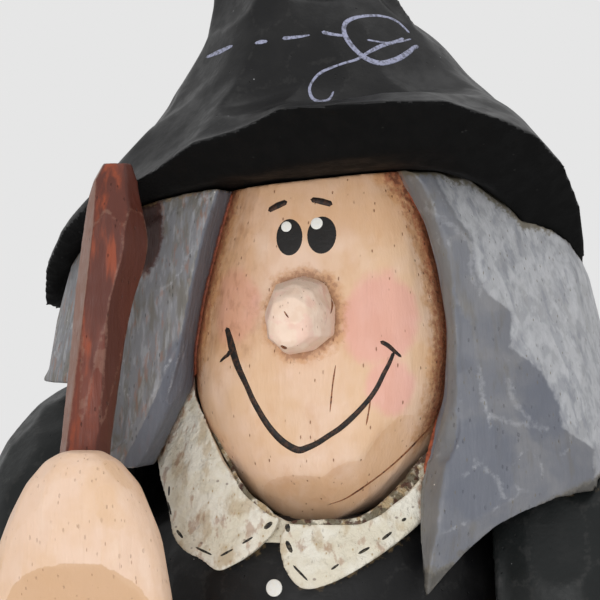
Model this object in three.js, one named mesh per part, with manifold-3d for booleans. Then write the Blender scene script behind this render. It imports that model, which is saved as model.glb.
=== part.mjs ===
// A witch figurine carved from wood in separate blocks, pegged and glued together, then painted.
// It stands on a felt pad and holds a broom against its hat, with one hand wrapped round the stick.
// The origin is the middle of the pad's underside. +Z is up and the figure faces -Y.
// Left and right are the viewer's, seen from the front. Lengths are millimetres, angles degrees.

import * as THREE from "three";
import { mergeVertices } from "three/addons/utils/BufferGeometryUtils.js";
import Module from "manifold-3d";

const wasm = await Module();
wasm.setup();

// Driving dimensions

const seam = 0.3; // glue line between two pieces
const knifeCut = 0.016; // how far the flats of the carving depart from a smooth curve, as a share
const flatWidths = [3, 3, 4, 3, 3, 3, 4, 3, 3, 3]; // wide flats of the dress, in sides of its rings
const roundSides = 24; // sides of a turned or wound round

const felt = { thickness: 1.2, inset: 4 };
const dress = { height: 166.5, hemHalfWidth: 52, hemFront: 40, hemBack: 38 };
const collar = {
  thickness: 3,
  reach: 26,
  standHeight: 17,
  bandThickness: 1.1,
  bandWidth: 26,
  bandDrop: 4,
  bandRise: 5,
};
const head = {
  height: 51,
  halfWidth: 21,
  front: 22,
  back: 20,
  shiftX: 3.3,
  shiftY: -6,
  sink: 1.5,
  clearance: { rise: 0.04, aside: 0.15 },
};
const nose = {
  length: 9.5,
  halfWidth: 5.1,
  halfHeight: 6,
  height: 31.5,
  aside: -0.9,
  pegRadius: 2,
  pegLength: 7,
};
const hair = {
  fall: 18,
  left: 47.5,
  right: 49,
  front: 29,
  back: 40,
  shiftY: 1,
  sideSeamY: 9,
  cutDepth: 10,
  flare: 0.11,
};
const hat = {
  halfWidth: 44,
  halfDepth: 40,
  crownHeight: 72,
  crownRadius: 22,
  seatX: 25,
  seatY: 22,
  shiftX: 1,
  shiftY: -1,
  seatRise: 0.7,
  seatTilt: 0.1,
  underShare: 0.82,
  droop: 20,
};
const sleeve = {
  halfWidth: 19.5,
  depth: 19.5,
  spread: 39.5,
  shiftY: -1.5,
  top: 19,
  crown: 36.5,
  length: 88,
  leanBack: 8,
};
const pegs = {
  neckRadius: 5,
  neckDepth: 18,
  hatRadius: 4,
  hatDepth: 12,
  shoulderRadius: 3,
  shoulderDepth: 14,
};
const stick = { radius: 4.3, tipX: -24.7, tipY: -33, footX: -38, footY: -52, aboveSeat: 2.7, footZ: 62 };
const bristles = {
  length: 66,
  spreadRadius: 17,
  flatness: 0.85,
  flutes: 18,
  fluteDepth: 0.9,
  socket: 22,
  widestStrand: 1.03,
};
const binding = { height: 5, proud: 1.2, ridges: 3, upperBelowTop: 7, gap: 8 };
const grip = {
  height: 46,
  halfWidth: 14.2,
  front: 6,
  back: 6,
  belowSeat: 39,
  shiftX: -26.2,
  palmHalfWidth: 11,
};
const rest = { length: 36, halfWidth: 7.5, depth: 10.5, sink: 10 };
const boot = { length: 42, halfWidth: 8, height: 13, spread: 17, toeLift: 3, showing: 22 };

// Heights that follow from them

const dressBottom = felt.thickness + seam;
const neckZ = dressBottom + dress.height;
const chinZ = neckZ - head.sink;
const seatZ = chinZ + head.height; // where the hat sits on the head
const hairBottom = neckZ - hair.fall;
const stickTop = seatZ + stick.aboveSeat;
const gripTop = seatZ - grip.belowSeat;

// Solids

const radians = THREE.MathUtils.degToRad;

// The same share of chance between -0.5 and 0.5 for the same two numbers, for uneven knife cuts.
function chance(a, b) {
  const wave = Math.sin(a * 12.9898 + b * 78.233) * 43758.5453;
  return wave - Math.floor(wave) - 0.5;
}

function solidOf(geometry) {
  const bare = geometry.index ? geometry.toNonIndexed() : geometry.clone();
  bare.deleteAttribute("normal");
  bare.deleteAttribute("uv");
  const merged = mergeVertices(bare, 1e-4);
  return new wasm.Manifold(
    new wasm.Mesh({
      numProp: 3,
      vertProperties: merged.attributes.position.array,
      triVerts: new Uint32Array(merged.index.array),
    }),
  );
}

function geometryOf(solid) {
  const mesh = solid.getMesh();
  const geometry = new THREE.BufferGeometry();
  geometry.setAttribute("position", new THREE.BufferAttribute(mesh.vertProperties, 3));
  geometry.setIndex(new THREE.BufferAttribute(mesh.triVerts, 1));
  return geometry;
}

// The triangles across a ring that bends in too far to fan out from its middle, in its own direction.
function trianglesAcross(points) {
  const outline = points.map((p) => new THREE.Vector2(p.x, p.z));
  const faces = THREE.ShapeUtils.triangulateShape(outline, []);
  const area = THREE.ShapeUtils.area;
  const turned = area(faces[0].map((k) => outline[k])) * area(outline) < 0;
  return turned ? faces.map(([a, b, c]) => [a, c, b]) : faces;
}

// One closed body through rings with as many points each, closed by a fan at both ends unless the
// rings are crooked.
function loft(rings, crooked = false) {
  const sides = rings[0].length;
  const points = rings.flat();
  const faces = [];
  for (let i = 0; i + 1 < rings.length; i++)
    for (let k = 0; k < sides; k++) {
      const a = i * sides + k;
      const b = i * sides + ((k + 1) % sides);
      faces.push(a, b, b + sides, a, b + sides, a + sides);
    }
  const last = (rings.length - 1) * sides;
  const middle = (ring) => ring.reduce((sum, p) => sum.add(p), new THREE.Vector3()).divideScalar(sides);
  if (crooked) {
    trianglesAcross(rings[0]).forEach(([a, b, c]) => faces.push(a, c, b));
    trianglesAcross(rings[rings.length - 1]).forEach((face) => faces.push(...face.map((k) => last + k)));
  } else {
    points.push(middle(rings[0]), middle(rings[rings.length - 1]));
    for (let k = 0; k < sides; k++) {
      const next = (k + 1) % sides;
      faces.push(next, k, points.length - 2, last + k, last + next, points.length - 1);
    }
  }
  let volume = 0;
  for (let i = 0; i < faces.length; i += 3)
    volume += points[faces[i]].dot(points[faces[i + 1]].clone().cross(points[faces[i + 2]]));
  if (volume < 0) faces.reverse();
  const geometry = new THREE.BufferGeometry().setFromPoints(points);
  geometry.setIndex(faces);
  return solidOf(geometry);
}

// Draws the points between two corners onto the straight line between them, flat after flat. The
// first flat begins at the point numbered turn.
function flatten(points, turn) {
  const at = (k) => points[k % points.length];
  let corner = turn;
  while (corner < turn + points.length)
    for (const width of flatWidths) {
      for (let i = 1; i < width; i++) at(corner + i).lerpVectors(at(corner), at(corner + width), i / width);
      corner += width;
    }
}

// A level ring: an oval with its own reach to each side, squared off a little, with uneven knife
// flats. Where the section has a turn, wide flats are cut across them.
function ring(section, sides, cut = knifeCut) {
  const { x = 0, y = 0, z, left, right = left, front, back = front, square = 2.2, turn } = section;
  const points = [];
  for (let k = 0; k < sides; k++) {
    const angle = (2 * Math.PI * k) / sides;
    const across = Math.sign(Math.cos(angle)) * Math.abs(Math.cos(angle)) ** (2 / square);
    const deep = Math.sign(Math.sin(angle)) * Math.abs(Math.sin(angle)) ** (2 / square);
    const pare = 1 + cut * chance(Math.floor(k / 2), Math.round(z / 9));
    points.push(
      new THREE.Vector3(
        x + across * (across > 0 ? right : left) * pare,
        y + deep * (deep > 0 ? back : front) * pare,
        z,
      ),
    );
  }
  if (turn !== undefined) flatten(points, turn);
  return points;
}

// A body of level rings. Grown, it is larger all round by that much, to cut the room for itself.
// Leaning, it rises and shifts aside by those shares towards the front.
function stack(sections, sides, grown = 0, cut = knifeCut, lean = { rise: 0, aside: 0 }) {
  const bottom = Math.min(...sections.map((s) => s.z));
  const top = Math.max(...sections.map((s) => s.z));
  const rings = sections.map((s) => {
    const right = s.right ?? s.left;
    const back = s.back ?? s.front;
    const points = ring(
      { ...s, left: s.left + grown, right: right + grown, front: s.front + grown, back: back + grown },
      sides,
      cut,
    );
    const rise = grown * ((2 * (s.z - bottom)) / (top - bottom) - 1);
    return points.map((p) => {
      const ahead = (s.y ?? 0) - p.y;
      return p.add(new THREE.Vector3(lean.aside * ahead, 0, rise + lean.rise * ahead));
    });
  });
  return loft(rings);
}

// A round peg between two points.
function peg(from, to, radius) {
  const along = to.clone().sub(from);
  const geometry = new THREE.CylinderGeometry(radius, radius, along.length(), 20);
  geometry.applyQuaternion(
    new THREE.Quaternion().setFromUnitVectors(new THREE.Vector3(0, 1, 0), along.clone().normalize()),
  );
  geometry.translate(...from.clone().add(to).divideScalar(2).toArray());
  return solidOf(geometry);
}

// The same peg with the play of its bore.
function bore(from, to, radius) {
  const end = to.clone().sub(from).setLength(seam);
  return peg(from.clone().sub(end), to.clone().add(end), radius + seam);
}

// An outline in the front view, [x, z] points joined by a curve, cut straight through from front to back.
function frontCut(points, nearY, farY, steps = 5) {
  const curve = new THREE.CatmullRomCurve3(
    points.map(([x, z]) => new THREE.Vector3(x, z, 0)),
    true,
    "centripetal",
  );
  const turns = curve.getPoints(points.length * steps).slice(1);
  const shape = new THREE.Shape(turns.map((p) => new THREE.Vector2(p.x, p.y)));
  const geometry = new THREE.ExtrudeGeometry(shape, { depth: farY - nearY, bevelEnabled: false });
  geometry.rotateX(Math.PI / 2);
  geometry.translate(0, farY, 0);
  return solidOf(geometry);
}

function block(width, depth, height, x, y, z) {
  return solidOf(new THREE.BoxGeometry(width, depth, height).translate(x, y, z));
}

const far = 400; // larger than the figure, for cuts that run past it

// Dress: one block from the hem to the shoulders. Each row is the share of its height, the shares
// of the hem's half width, front and back, and where the wide flats of that stretch begin. The
// shoulders are smooth.

const dressRows = [
  [0, 0.965, 0.955, 0.955, 0],
  [0.025, 1, 1, 1, 0],
  [0.19, 0.905, 0.925, 0.895, 0],
  [0.23, 0.875, 0.905, 0.87, 5],
  [0.4, 0.765, 0.835, 0.77, 5],
  [0.44, 0.745, 0.825, 0.755, 10],
  [0.62, 0.64, 0.77, 0.68, 10],
  [0.66, 0.615, 0.765, 0.665, 15],
  [0.82, 0.6, 0.79, 0.67, 15],
  [0.9, 0.585, 0.8, 0.66],
  [0.955, 0.56, 0.745, 0.6],
  [0.985, 0.52, 0.68, 0.54],
  [1, 0.44, 0.58, 0.46],
];

const dressSections = dressRows.map(([share, side, front, back, turn]) => ({
  z: dressBottom + share * dress.height,
  left: side * dress.hemHalfWidth,
  front: front * dress.hemFront,
  back: back * dress.hemBack,
  turn,
}));

const dressSides = flatWidths.reduce((sum, width) => sum + width, 0);
const dressForm = (grown) => stack(dressSections, dressSides, grown);

// Collar: its inner face lies on the shoulders and then stands up round the jaw.

const collarFoot = dressSections.slice(-5).map((section) => ({ ...section, turn: undefined }));
const collarStand = [
  [0.3, 0.51, 0.625],
  [0.65, 0.48, 0.55],
  [1, 0.44, 0.475],
].map(([share, side, front]) => ({
  x: head.shiftX / 3,
  z: neckZ + share * collar.standHeight,
  left: side * dress.hemHalfWidth,
  front: front * dress.hemFront,
  back: side * dress.hemHalfWidth,
}));

const collarForm = (grown) => stack([...collarFoot.slice(0, -1), ...collarStand], dressSides, grown);

// The lapels in the front view, as shares of the collar's reach and of its height above the neck.
const leftLapel = [
  [-0.042, -0.059],
  [-0.085, -0.176],
  [-0.2, -0.335],
  [-0.288, -0.418],
  [-0.377, -0.471],
  [-0.492, -0.382],
  [-0.596, -0.329],
  [-0.685, -0.212],
  [-0.754, 0.059],
  [-0.846, 0.353],
  [-0.962, 0.824],
  [-0.885, 1.176],
  [-0.308, 1.176],
  [-0.038, 0.471],
];
const rightLapel = [
  [0.008, -0.024],
  [-0.023, -0.235],
  [0.038, -0.482],
  [0.127, -0.6],
  [0.269, -0.559],
  [0.5, -0.365],
  [0.704, -0.118],
  [0.846, 0.118],
  [1, 0.471],
  [0.923, 1.118],
  [0.346, 1.118],
  [0.077, 0.471],
];

// Head: a pear of wood, broad at the cheeks, flat on top under the hat. Each row is the share of
// its height, and the shares of its reach to the left, right, front and back.

const headRows = [
  [0, 0.3, 0.2, 0.76, 0.45],
  [0.03, 0.45, 0.35, 0.83, 0.6],
  [0.08, 0.61, 0.52, 0.9, 0.7],
  [0.17, 0.78, 0.71, 0.95, 0.8],
  [0.27, 0.91, 0.87, 0.985, 0.88],
  [0.37, 0.98, 0.96, 1, 0.95],
  [0.5, 1, 1, 0.985, 1],
  [0.62, 0.965, 0.965, 0.955, 1],
  [0.75, 0.9, 0.9, 0.91, 1],
  [0.88, 0.82, 0.82, 0.85, 0.97],
  [1, 0.75, 0.75, 0.78, 0.93],
  [1.1, 0.66, 0.66, 0.7, 0.88],
];

const headSections = headRows.map(([share, left, right, front, back]) => ({
  x: head.shiftX,
  y: head.shiftY,
  z: chinZ + share * head.height,
  left: left * head.halfWidth,
  right: right * head.halfWidth,
  front: front * head.front,
  back: back * head.back,
  square: 3,
}));

const headForm = (grown) => stack(headSections, 32, grown);

// The head drawn forward, a little up and to the right, to be cut from what may not stand before it.
const beforeFace = (grown) =>
  stack(headSections.map((s) => ({ ...s, front: far / 4 })), 32, grown, knifeCut, head.clearance);

// Nose: a blunt wedge that droops towards its tip, with a peg into the face.

const noseX = head.shiftX + nose.aside;
const noseZ = chinZ + nose.height;
const faceY = head.shiftY - head.front * 0.95;

function noseForm() {
  const rows = [
    [-0.3, 1, 1, 0],
    [0.35, 1, 0.98, 0.05],
    [0.7, 0.86, 0.86, 0.12],
    [0.92, 0.62, 0.62, 0.24],
    [1, 0.34, 0.34, 0.3],
  ];
  const rings = rows.map(([share, across, tall, droop], i) => {
    const points = [];
    for (let k = 0; k < 9; k++) {
      const angle = (2 * Math.PI * (k + 0.3)) / 9;
      const pare = 1 + 0.12 * chance(k, 3) + 0.05 * chance(k, i);
      points.push(
        new THREE.Vector3(
          noseX + nose.halfWidth * (across * Math.cos(angle) * pare - 0.6 * droop),
          faceY - share * nose.length,
          noseZ + nose.halfHeight * (tall * Math.sin(angle) * pare - droop),
        ),
      );
    }
    return points;
  });
  return loft(rings);
}

const nosePegFrom = new THREE.Vector3(noseX, faceY + nose.pegLength, noseZ);
const nosePegTo = new THREE.Vector3(noseX, faceY - nose.length / 2, noseZ);

// Hat: a bell that flares from a crooked crown to a brim turned up in front and drooping at the
// sides. Each row of the rim is the angle from the front towards the right, the reach from the
// middle as a share of the half width, and as shares of the droop: the height over the seat, how far
// the flare swells, and the height of the hollow underside where it passes over the hair.

const rimRows = [
  [0, 0.845, 0.51, 0, 0.09],
  [33, 0.965, 0.56, 0, 0.13],
  [47, 0.985, 0.42, 0.05, 0.03],
  [60, 0.975, 0.28, 0.1, -0.11],
  [71, 0.955, 0.05, 0.15, -0.3],
  [83, 0.935, -0.25, 0.2, -0.57],
  [98, 0.925, -0.7, 0.225, -0.65],
  [115, 0.95, -0.55, 0.2, -0.45],
  [140, 0.98, -0.325, 0.15, -0.2],
  [180, 0.96, -0.175, 0.1, -0.1],
  [210, 0.99, -0.25, 0.1, -0.15],
  [235, 1.03, -0.45, 0.1, -0.35],
  [255, 1.06, -1.025, 0.1, -0.65],
  [270, 1.07, -0.925, 0.075, -0.65],
  [287, 1, -0.5, 0.075, -0.45],
  [302, 0.9, -0.175, 0.05, -0.175],
  [321, 0.86, 0, 0, -0.08],
  [330, 0.84, 0.12, 0, -0.04],
  [338, 0.83, 0.28, 0, -0.01],
  [350, 0.83, 0.36, 0, 0.03],
  [360, 0.845, 0.51, 0, 0.09],
];

// The crown's rings: height over the seat as a share, middle, reach, and the tilt of the bent tip.
const crownRows = [
  [0.25, -0.005, 0, 1.04, 0],
  [0.335, -0.055, 0, 0.86, 0],
  [0.42, -0.118, 0, 0.735, 0],
  [0.52, -0.195, 0.023, 0.62, 2],
  [0.63, -0.286, 0.045, 0.5, 5],
  [0.79, -0.432, 0.091, 0.34, 15],
  [0.915, -0.614, 0.136, 0.24, 35],
  [0.985, -0.864, 0.159, 0.18, 62],
  [0.985, -1.136, 0.159, 0.13, 90],
  [0.94, -1.364, 0.159, 0.06, 118],
];

// Wide flats that the knife took off the crown. Each row is the crown's ring that one lies on, its
// angle from the front towards the right, how far it looks up, its reach as a share of the crown's
// radius, and its depth as a share of that reach.
const crownCuts = [
  [1, 309, 22, 0.36, 0.1],
  [1, 6, 21, 0.36, 0.1],
  [1, 46, 30, 0.36, 0.1],
  [1, 130, 18, 0.4, 0.15],
  [1, 180, 15, 0.4, 0.15],
  [1, 228, 18, 0.4, 0.15],
  [4, 25, 10, 0.4, 0.1],
  [4, 95, 5, 0.4, 0.12],
  [4, 165, 0, 0.4, 0.12],
  [4, 240, 0, 0.4, 0.12],
  [4, 315, 5, 0.4, 0.1],
];

const flareShares = [0.25, 0.5, 0.78]; // the rings between the rim and the foot of the crown
const flatLift = 0.4; // how fast a flat lifts away past its reach
const hatSides = 32;
const hatFlats = 10;

// The row of a table at an angle, with its values between those of the rows on each side.
function rowAt(rows, angle) {
  const after = rows.findIndex((row) => row[0] >= angle);
  if (after <= 0) return rows[Math.max(after, 0)];
  const share = (angle - rows[after - 1][0]) / (rows[after][0] - rows[after - 1][0]);
  return rows[after].map((value, i) => THREE.MathUtils.lerp(rows[after - 1][i], value, share));
}

// How much a round crown loses where the knife left broad flats.
function flat(angle, band) {
  const step = 360 / hatFlats;
  const turned = angle + step * (0.5 * chance(Math.floor(angle / step), band) + 0.5);
  const within = radians((turned % step) - step / 2);
  return Math.cos(radians(step / 2)) / Math.cos(within);
}

function hatAngles() {
  return Array.from({ length: hatSides }, (_, k) => (360 * k) / hatSides);
}

function hatPoint(angle, reachX, reachY, z) {
  return new THREE.Vector3(
    hat.shiftX + Math.sin(radians(angle)) * reachX,
    hat.shiftY - Math.cos(radians(angle)) * reachY,
    z,
  );
}

// The rim, drawn in by a share and lifted, for the brim itself and for the room under it.
function rimRing(spread, lift) {
  return hatAngles().map((angle) => {
    const [, reach, height] = rowAt(rimRows, angle);
    return hatPoint(
      angle,
      reach * hat.halfWidth * spread,
      reach * hat.halfDepth * 1.1 * spread,
      seatZ + height * hat.droop + lift,
    );
  });
}

function seatRing(lift) {
  return hatAngles().map((angle) => {
    const point = hatPoint(angle, hat.seatX, hat.seatY, seatZ + lift);
    return point.setZ(point.z + hat.seatRise + hat.seatTilt * (point.x - head.shiftX));
  });
}

// The ring on the underside between seat and rim.
function underRing(lift) {
  return hatAngles().map((angle) => {
    const [, reach, , , under] = rowAt(rimRows, angle);
    const share = hat.underShare * reach;
    const z = seatZ + under * hat.droop + lift;
    return hatPoint(angle, share * hat.halfWidth, share * hat.halfDepth * 1.1, z);
  });
}

function crownRing([share, middleX, middleY, reach, tilt]) {
  return hatAngles().map((angle) => {
    const r = reach * hat.crownRadius * (0.5 + 0.5 * flat(angle, 1));
    const out = new THREE.Vector3(Math.sin(radians(angle)) * r, -Math.cos(radians(angle)) * r, 0);
    out.applyAxisAngle(new THREE.Vector3(0, 1, 0), -radians(tilt));
    return out.add(
      new THREE.Vector3(
        hat.shiftX + middleX * hat.crownRadius,
        hat.shiftY + middleY * hat.crownRadius,
        seatZ + share * hat.crownHeight,
      ),
    );
  });
}

// Draws the points that stand out over a flat back onto it. Past its reach the flat lifts away.
function cutFlat(rings, [row, angle, rise, share, depth]) {
  const spot = rings[row + flareShares.length][Math.round((angle * hatSides) / 360) % hatSides].clone();
  const face = new THREE.Vector3(0, -1, 0)
    .applyAxisAngle(new THREE.Vector3(1, 0, 0), -radians(rise))
    .applyAxisAngle(new THREE.Vector3(0, 0, 1), radians(angle));
  const reach = share * hat.crownRadius;
  for (const point of rings.flat()) {
    const away = point.clone().sub(spot);
    const height = away.dot(face);
    const aside = Math.sqrt(Math.max(away.lengthSq() - height ** 2, 0)) / reach;
    const lift = flatLift * reach * Math.max(aside - 1, 0) ** 2;
    const over = height + depth * reach - lift;
    if (over > 0 && aside < 2 && height < reach) point.addScaledVector(face, -over);
  }
}

function hatForm() {
  const rim = rimRing(1, 0);
  const foot = crownRing(crownRows[0]);
  const flare = flareShares.map((share) =>
    hatAngles().map((angle, k) => {
      const swell = rowAt(rimRows, angle)[3] * hat.droop * Math.sin(Math.PI * share ** 0.8);
      const point = rim[k].clone().lerp(foot[k], share);
      const outward = new THREE.Vector3(Math.sin(radians(angle)), -Math.cos(radians(angle)), 0.8);
      return point.addScaledVector(outward.normalize(), swell - 1.2 * (1 - flat(angle, 2)) * hat.crownRadius);
    }),
  );
  const upper = [...flare, foot, ...crownRows.slice(1).map(crownRing)];
  crownCuts.forEach((cut) => cutFlat(upper, cut));
  return loft([seatRing(seam), underRing(seam), rim, ...upper]);
}

// Everything over the hat's underside, less the seam, to be cut from what sits under the hat.
function overHat() {
  const spread = 1.5;
  const above = rimRing(spread, 0).map((p) => p.clone().setZ(seatZ + far));
  return loft([seatRing(0), underRing(0), rimRing(1, -seam), rimRing(spread, -seam), above]);
}

// Hair: a bell of heavy locks round the head, open over the face. Each row is the share of its
// height, and the shares of its reach to the sides, front and back.

const hairRows = [
  [0, 0.96, 1.1, 0.95],
  [0.14, 1, 1.1, 1],
  [0.35, 0.99, 1.05, 0.99],
  [0.5, 0.955, 1, 0.96],
  [0.62, 0.915, 0.965, 0.92],
  [0.75, 0.865, 0.94, 0.87],
  [0.83, 0.815, 0.925, 0.81],
  [0.91, 0.735, 0.9, 0.72],
  [1, 0.62, 0.86, 0.6],
];

const hairHeight = seatZ + 4 - hairBottom;
const hairSections = hairRows.map(([share, side, front, back]) => ({
  y: hair.shiftY,
  z: hairBottom + share * hairHeight,
  left: side * hair.left,
  right: side * hair.right,
  front: front * hair.front,
  back: back * hair.back,
  square: 2.4,
}));

// The opening over face and collar in the front view, as shares of the head's half width from its
// middle and of its height above the chin. Its sides are pared back towards the front, which leaves
// the bevel along the edge of each lock.
const faceOpening = [
  [0.367, 1.176],
  [0.5, 1.02],
  [0.633, 0.955],
  [0.729, 0.882],
  [0.819, 0.745],
  [0.886, 0.569],
  [0.862, 0.373],
  [0.762, 0.216],
  [0.7, 0.118],
  [0.7, 0],
  [0.705, -0.098],
  [0.724, -0.171],
  [0.833, -0.124],
  [0.995, -0.051],
  [1.19, 0.016],
  [1.386, 0.053],
  [1.643, 0.086],
  [2.129, 0.098],
  [3.652, 0.098],
  [3.652, -0.784],
  [-3.967, -0.784],
  [-3.967, 0.137],
  [-1.776, 0.167],
  [-1.519, 0.216],
  [-1.324, 0.182],
  [-1.205, 0.161],
  [-1.157, 0.192],
  [-1.043, 0.286],
  [-0.929, 0.392],
  [-0.881, 0.51],
  [-0.805, 0.686],
  [-0.729, 0.843],
  [-0.633, 0.98],
  [-0.61, 1.176],
];

const openingMiddle = 0.39; // the height, as a share of the head's, about which the opening flares
const openingRise = 0.4; // how much less it flares upwards than sideways

function faceRing(y, flare) {
  return faceOpening.map(([across, up]) => {
    const x = head.shiftX + across * head.halfWidth * (1 + flare);
    const share = openingMiddle + (up - openingMiddle) * (1 + openingRise * flare);
    return new THREE.Vector3(x, y, chinZ + share * head.height);
  });
}

const faceEdgeY = head.shiftY - 0.45 * head.front;
const faceCut = () =>
  loft(
    [
      faceRing(faceEdgeY + hair.cutDepth, 0),
      faceRing(faceEdgeY, 0),
      faceRing(faceEdgeY - hair.cutDepth, hair.flare),
      faceRing(-far / 4, 10 * hair.flare),
    ],
    true,
  );

// Sleeves: a full shoulder that rounds down into the arm.

function shoulderSections(side) {
  const domeZ = neckZ + sleeve.top - sleeve.crown;
  return [0, 14, 30, 45, 60, 75, 85].map((lift) => {
    const reach = Math.cos(radians(lift));
    return {
      x: side * sleeve.spread,
      y: sleeve.shiftY + sleeve.leanBack * Math.sin(radians(lift)) ** 2,
      z: domeZ + sleeve.crown * Math.sin(radians(lift)),
      left: reach * sleeve.halfWidth,
      front: reach * sleeve.depth,
      square: 2.1,
    };
  });
}

// The arm below the shoulder: height below it as a share, middle, and reach.
function armSections(side, rows) {
  const domeZ = neckZ + sleeve.top - sleeve.crown;
  return rows.map(([share, out, forward, reach]) => ({
    x: side * (sleeve.spread + out * sleeve.halfWidth),
    y: sleeve.shiftY - forward * sleeve.depth,
    z: domeZ - share * sleeve.length * 0.6,
    left: reach * sleeve.halfWidth,
    front: reach * sleeve.depth,
    square: 2.1,
  }));
}

const hangingArm = [
  [1, 0.282, 0.615, 0.7],
  [0.95, 0.282, 0.615, 0.8],
  [0.75, 0.256, 0.462, 0.77],
  [0.5, 0.205, 0.256, 0.86],
  [0.25, 0.103, 0.103, 0.96],
];
const bentArm = [
  [0.78, 0.256, 0.41, 0.45],
  [0.72, 0.256, 0.41, 0.7],
  [0.5, 0.205, 0.308, 0.9],
  [0.25, 0.103, 0.103, 0.98],
];

// The forearm that reaches forward to the broom, as a swept tube. Its girths are shares of the
// sleeve's half width.
const forearmGirths = [0.69, 0.73, 0.72, 0.69, 0.66, 0.68];

function forearm(points, girths, grown = 0) {
  const path = new THREE.CatmullRomCurve3(points);
  const rings = girths.map((girth, i) => {
    const share = i / (girths.length - 1);
    const at = path.getPoint(share);
    const along = path.getTangent(share);
    const across = new THREE.Vector3(0, 0, 1).cross(along).normalize();
    const up = along.clone().cross(across);
    const turned = [];
    for (let k = 0; k < 16; k++) {
      const angle = (2 * Math.PI * k) / 16;
      const r = (girth * sleeve.halfWidth + grown) * (1 + knifeCut * 2 * chance(k, i));
      const point = at.clone().addScaledVector(across, Math.cos(angle) * r);
      turned.push(point.addScaledVector(up, Math.sin(angle) * r));
    }
    return turned;
  });
  return loft(rings);
}

// Broom: a leaning line carries the stick, the bristles and their bindings.

function stickAt(z) {
  const share = (stickTop - z) / (stickTop - stick.footZ);
  return {
    x: THREE.MathUtils.lerp(stick.tipX, stick.footX, share),
    y: THREE.MathUtils.lerp(stick.tipY, stick.footY, share),
  };
}

const stickBottom = bristles.length - bristles.socket;
const stickHeights = [0, 0.02, 0.17, 0.33, 0.5, 0.66, 0.77, 0.85, 0.905, 0.935, 0.96, 0.985, 1];

function stickForm(grown) {
  const girth = [0.92, 1, 1.04, 0.95, 1.04, 0.97, 0.93, 1, 1.13, 1.08, 0.94, 0.76, 0.5];
  const sections = stickHeights.map((share, i) => {
    const z = stickBottom + share * (stickTop - stickBottom);
    return { ...stickAt(z), z, left: stick.radius * girth[i], front: stick.radius * girth[i], square: 2 };
  });
  return stack(sections, 8, grown, 0.16);
}

// Each row is the share of the bristles' length and of their spread.
const bristleRows = [
  [0, 0.93],
  [0.04, 1],
  [0.35, 0.86],
  [0.62, 0.62],
  [0.8, 0.42],
  [0.93, 0.38],
  [1, 0.3],
];

function bristleForm(grown) {
  const sides = bristles.flutes * 3;
  return loft(
    bristleRows.map(([share, reach], i) => {
      const z = share * bristles.length;
      const middle = stickAt(z);
      const points = [];
      for (let k = 0; k < sides; k++) {
        const angle = (2 * Math.PI * k) / sides;
        const groove = k % 3 === 0 ? bristles.fluteDepth : 0;
        const strand = 1 + 0.05 * chance(Math.floor(k / 3), i);
        const r = reach * bristles.spreadRadius * strand - groove + grown;
        const y = middle.y + Math.sin(angle) * r * bristles.flatness;
        points.push(new THREE.Vector3(middle.x + Math.cos(angle) * r, y, z));
      }
      return points;
    }),
  );
}

// A level ring round the bristles, off their strands by so much.
function bandRound(z, off) {
  const reach = rowAt(bristleRows, z / bristles.length)[1] * bristles.spreadRadius * bristles.widestStrand;
  const r = reach + off;
  return ring({ ...stickAt(z), z, left: r, front: r * bristles.flatness, square: 2 }, roundSides, 0);
}

// Twine wound round the bristles: a ridged band turned on the broom's line.
function bindingSolid(middleZ) {
  const steps = binding.ridges * 3;
  const low = middleZ - binding.height / 2;
  const outside = [];
  for (let i = 0; i <= steps; i++) {
    const swell = 0.45 + 0.55 * Math.abs(Math.sin((Math.PI * binding.ridges * i) / steps));
    outside.push(bandRound(low + (i / steps) * binding.height, seam + binding.proud * swell));
  }
  const inside = [-1, binding.height + 1].map((up) => bandRound(low + up, seam));
  return loft(outside).subtract(loft(inside));
}

// The hand on the broom: a mitten paddle before the stick and a palm that wraps behind it. Each row
// is the share below its top, the reach across, the thickness, and the shift to the side.

const gripRows = [
  [0, 0.2, 0.5, 0.035],
  [0.03, 0.38, 0.75, 0.035],
  [0.1, 0.58, 0.9, 0.035],
  [0.2, 0.75, 1, 0.028],
  [0.32, 0.88, 1, 0.014],
  [0.47, 0.99, 1.02, -0.014],
  [0.64, 1, 1, -0.042],
  [0.82, 0.9, 1, -0.07],
  [1, 0.7, 1, -0.106],
];

function gripForm(grown) {
  const middleY = stickAt(gripTop - grip.height / 2).y;
  const paddle = gripRows.map(([share, across, thick, aside]) => ({
    x: grip.shiftX + aside * grip.halfWidth,
    y: middleY - grip.front - stick.radius / 3,
    z: gripTop - share * grip.height,
    left: across * grip.halfWidth,
    front: thick * grip.front,
    back: thick * grip.back,
    square: 2.3,
  }));
  const palm = [
    [0.05, 0.5],
    [0.12, 0.66],
    [0.25, 0.86],
    [0.4, 1],
    [0.7, 1.08],
    [0.95, 0.8],
  ].map(([share, reach]) => {
    const z = gripTop - share * grip.height;
    const { x, y } = stickAt(z);
    const deep = grip.palmHalfWidth * 0.78;
    return { x, y, z, left: reach * grip.palmHalfWidth, front: deep * 0.93, back: reach * deep, square: 2.6 };
  });
  return stack(paddle.reverse(), 20, grown).add(stack(palm.reverse(), 20, grown));
}

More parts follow.
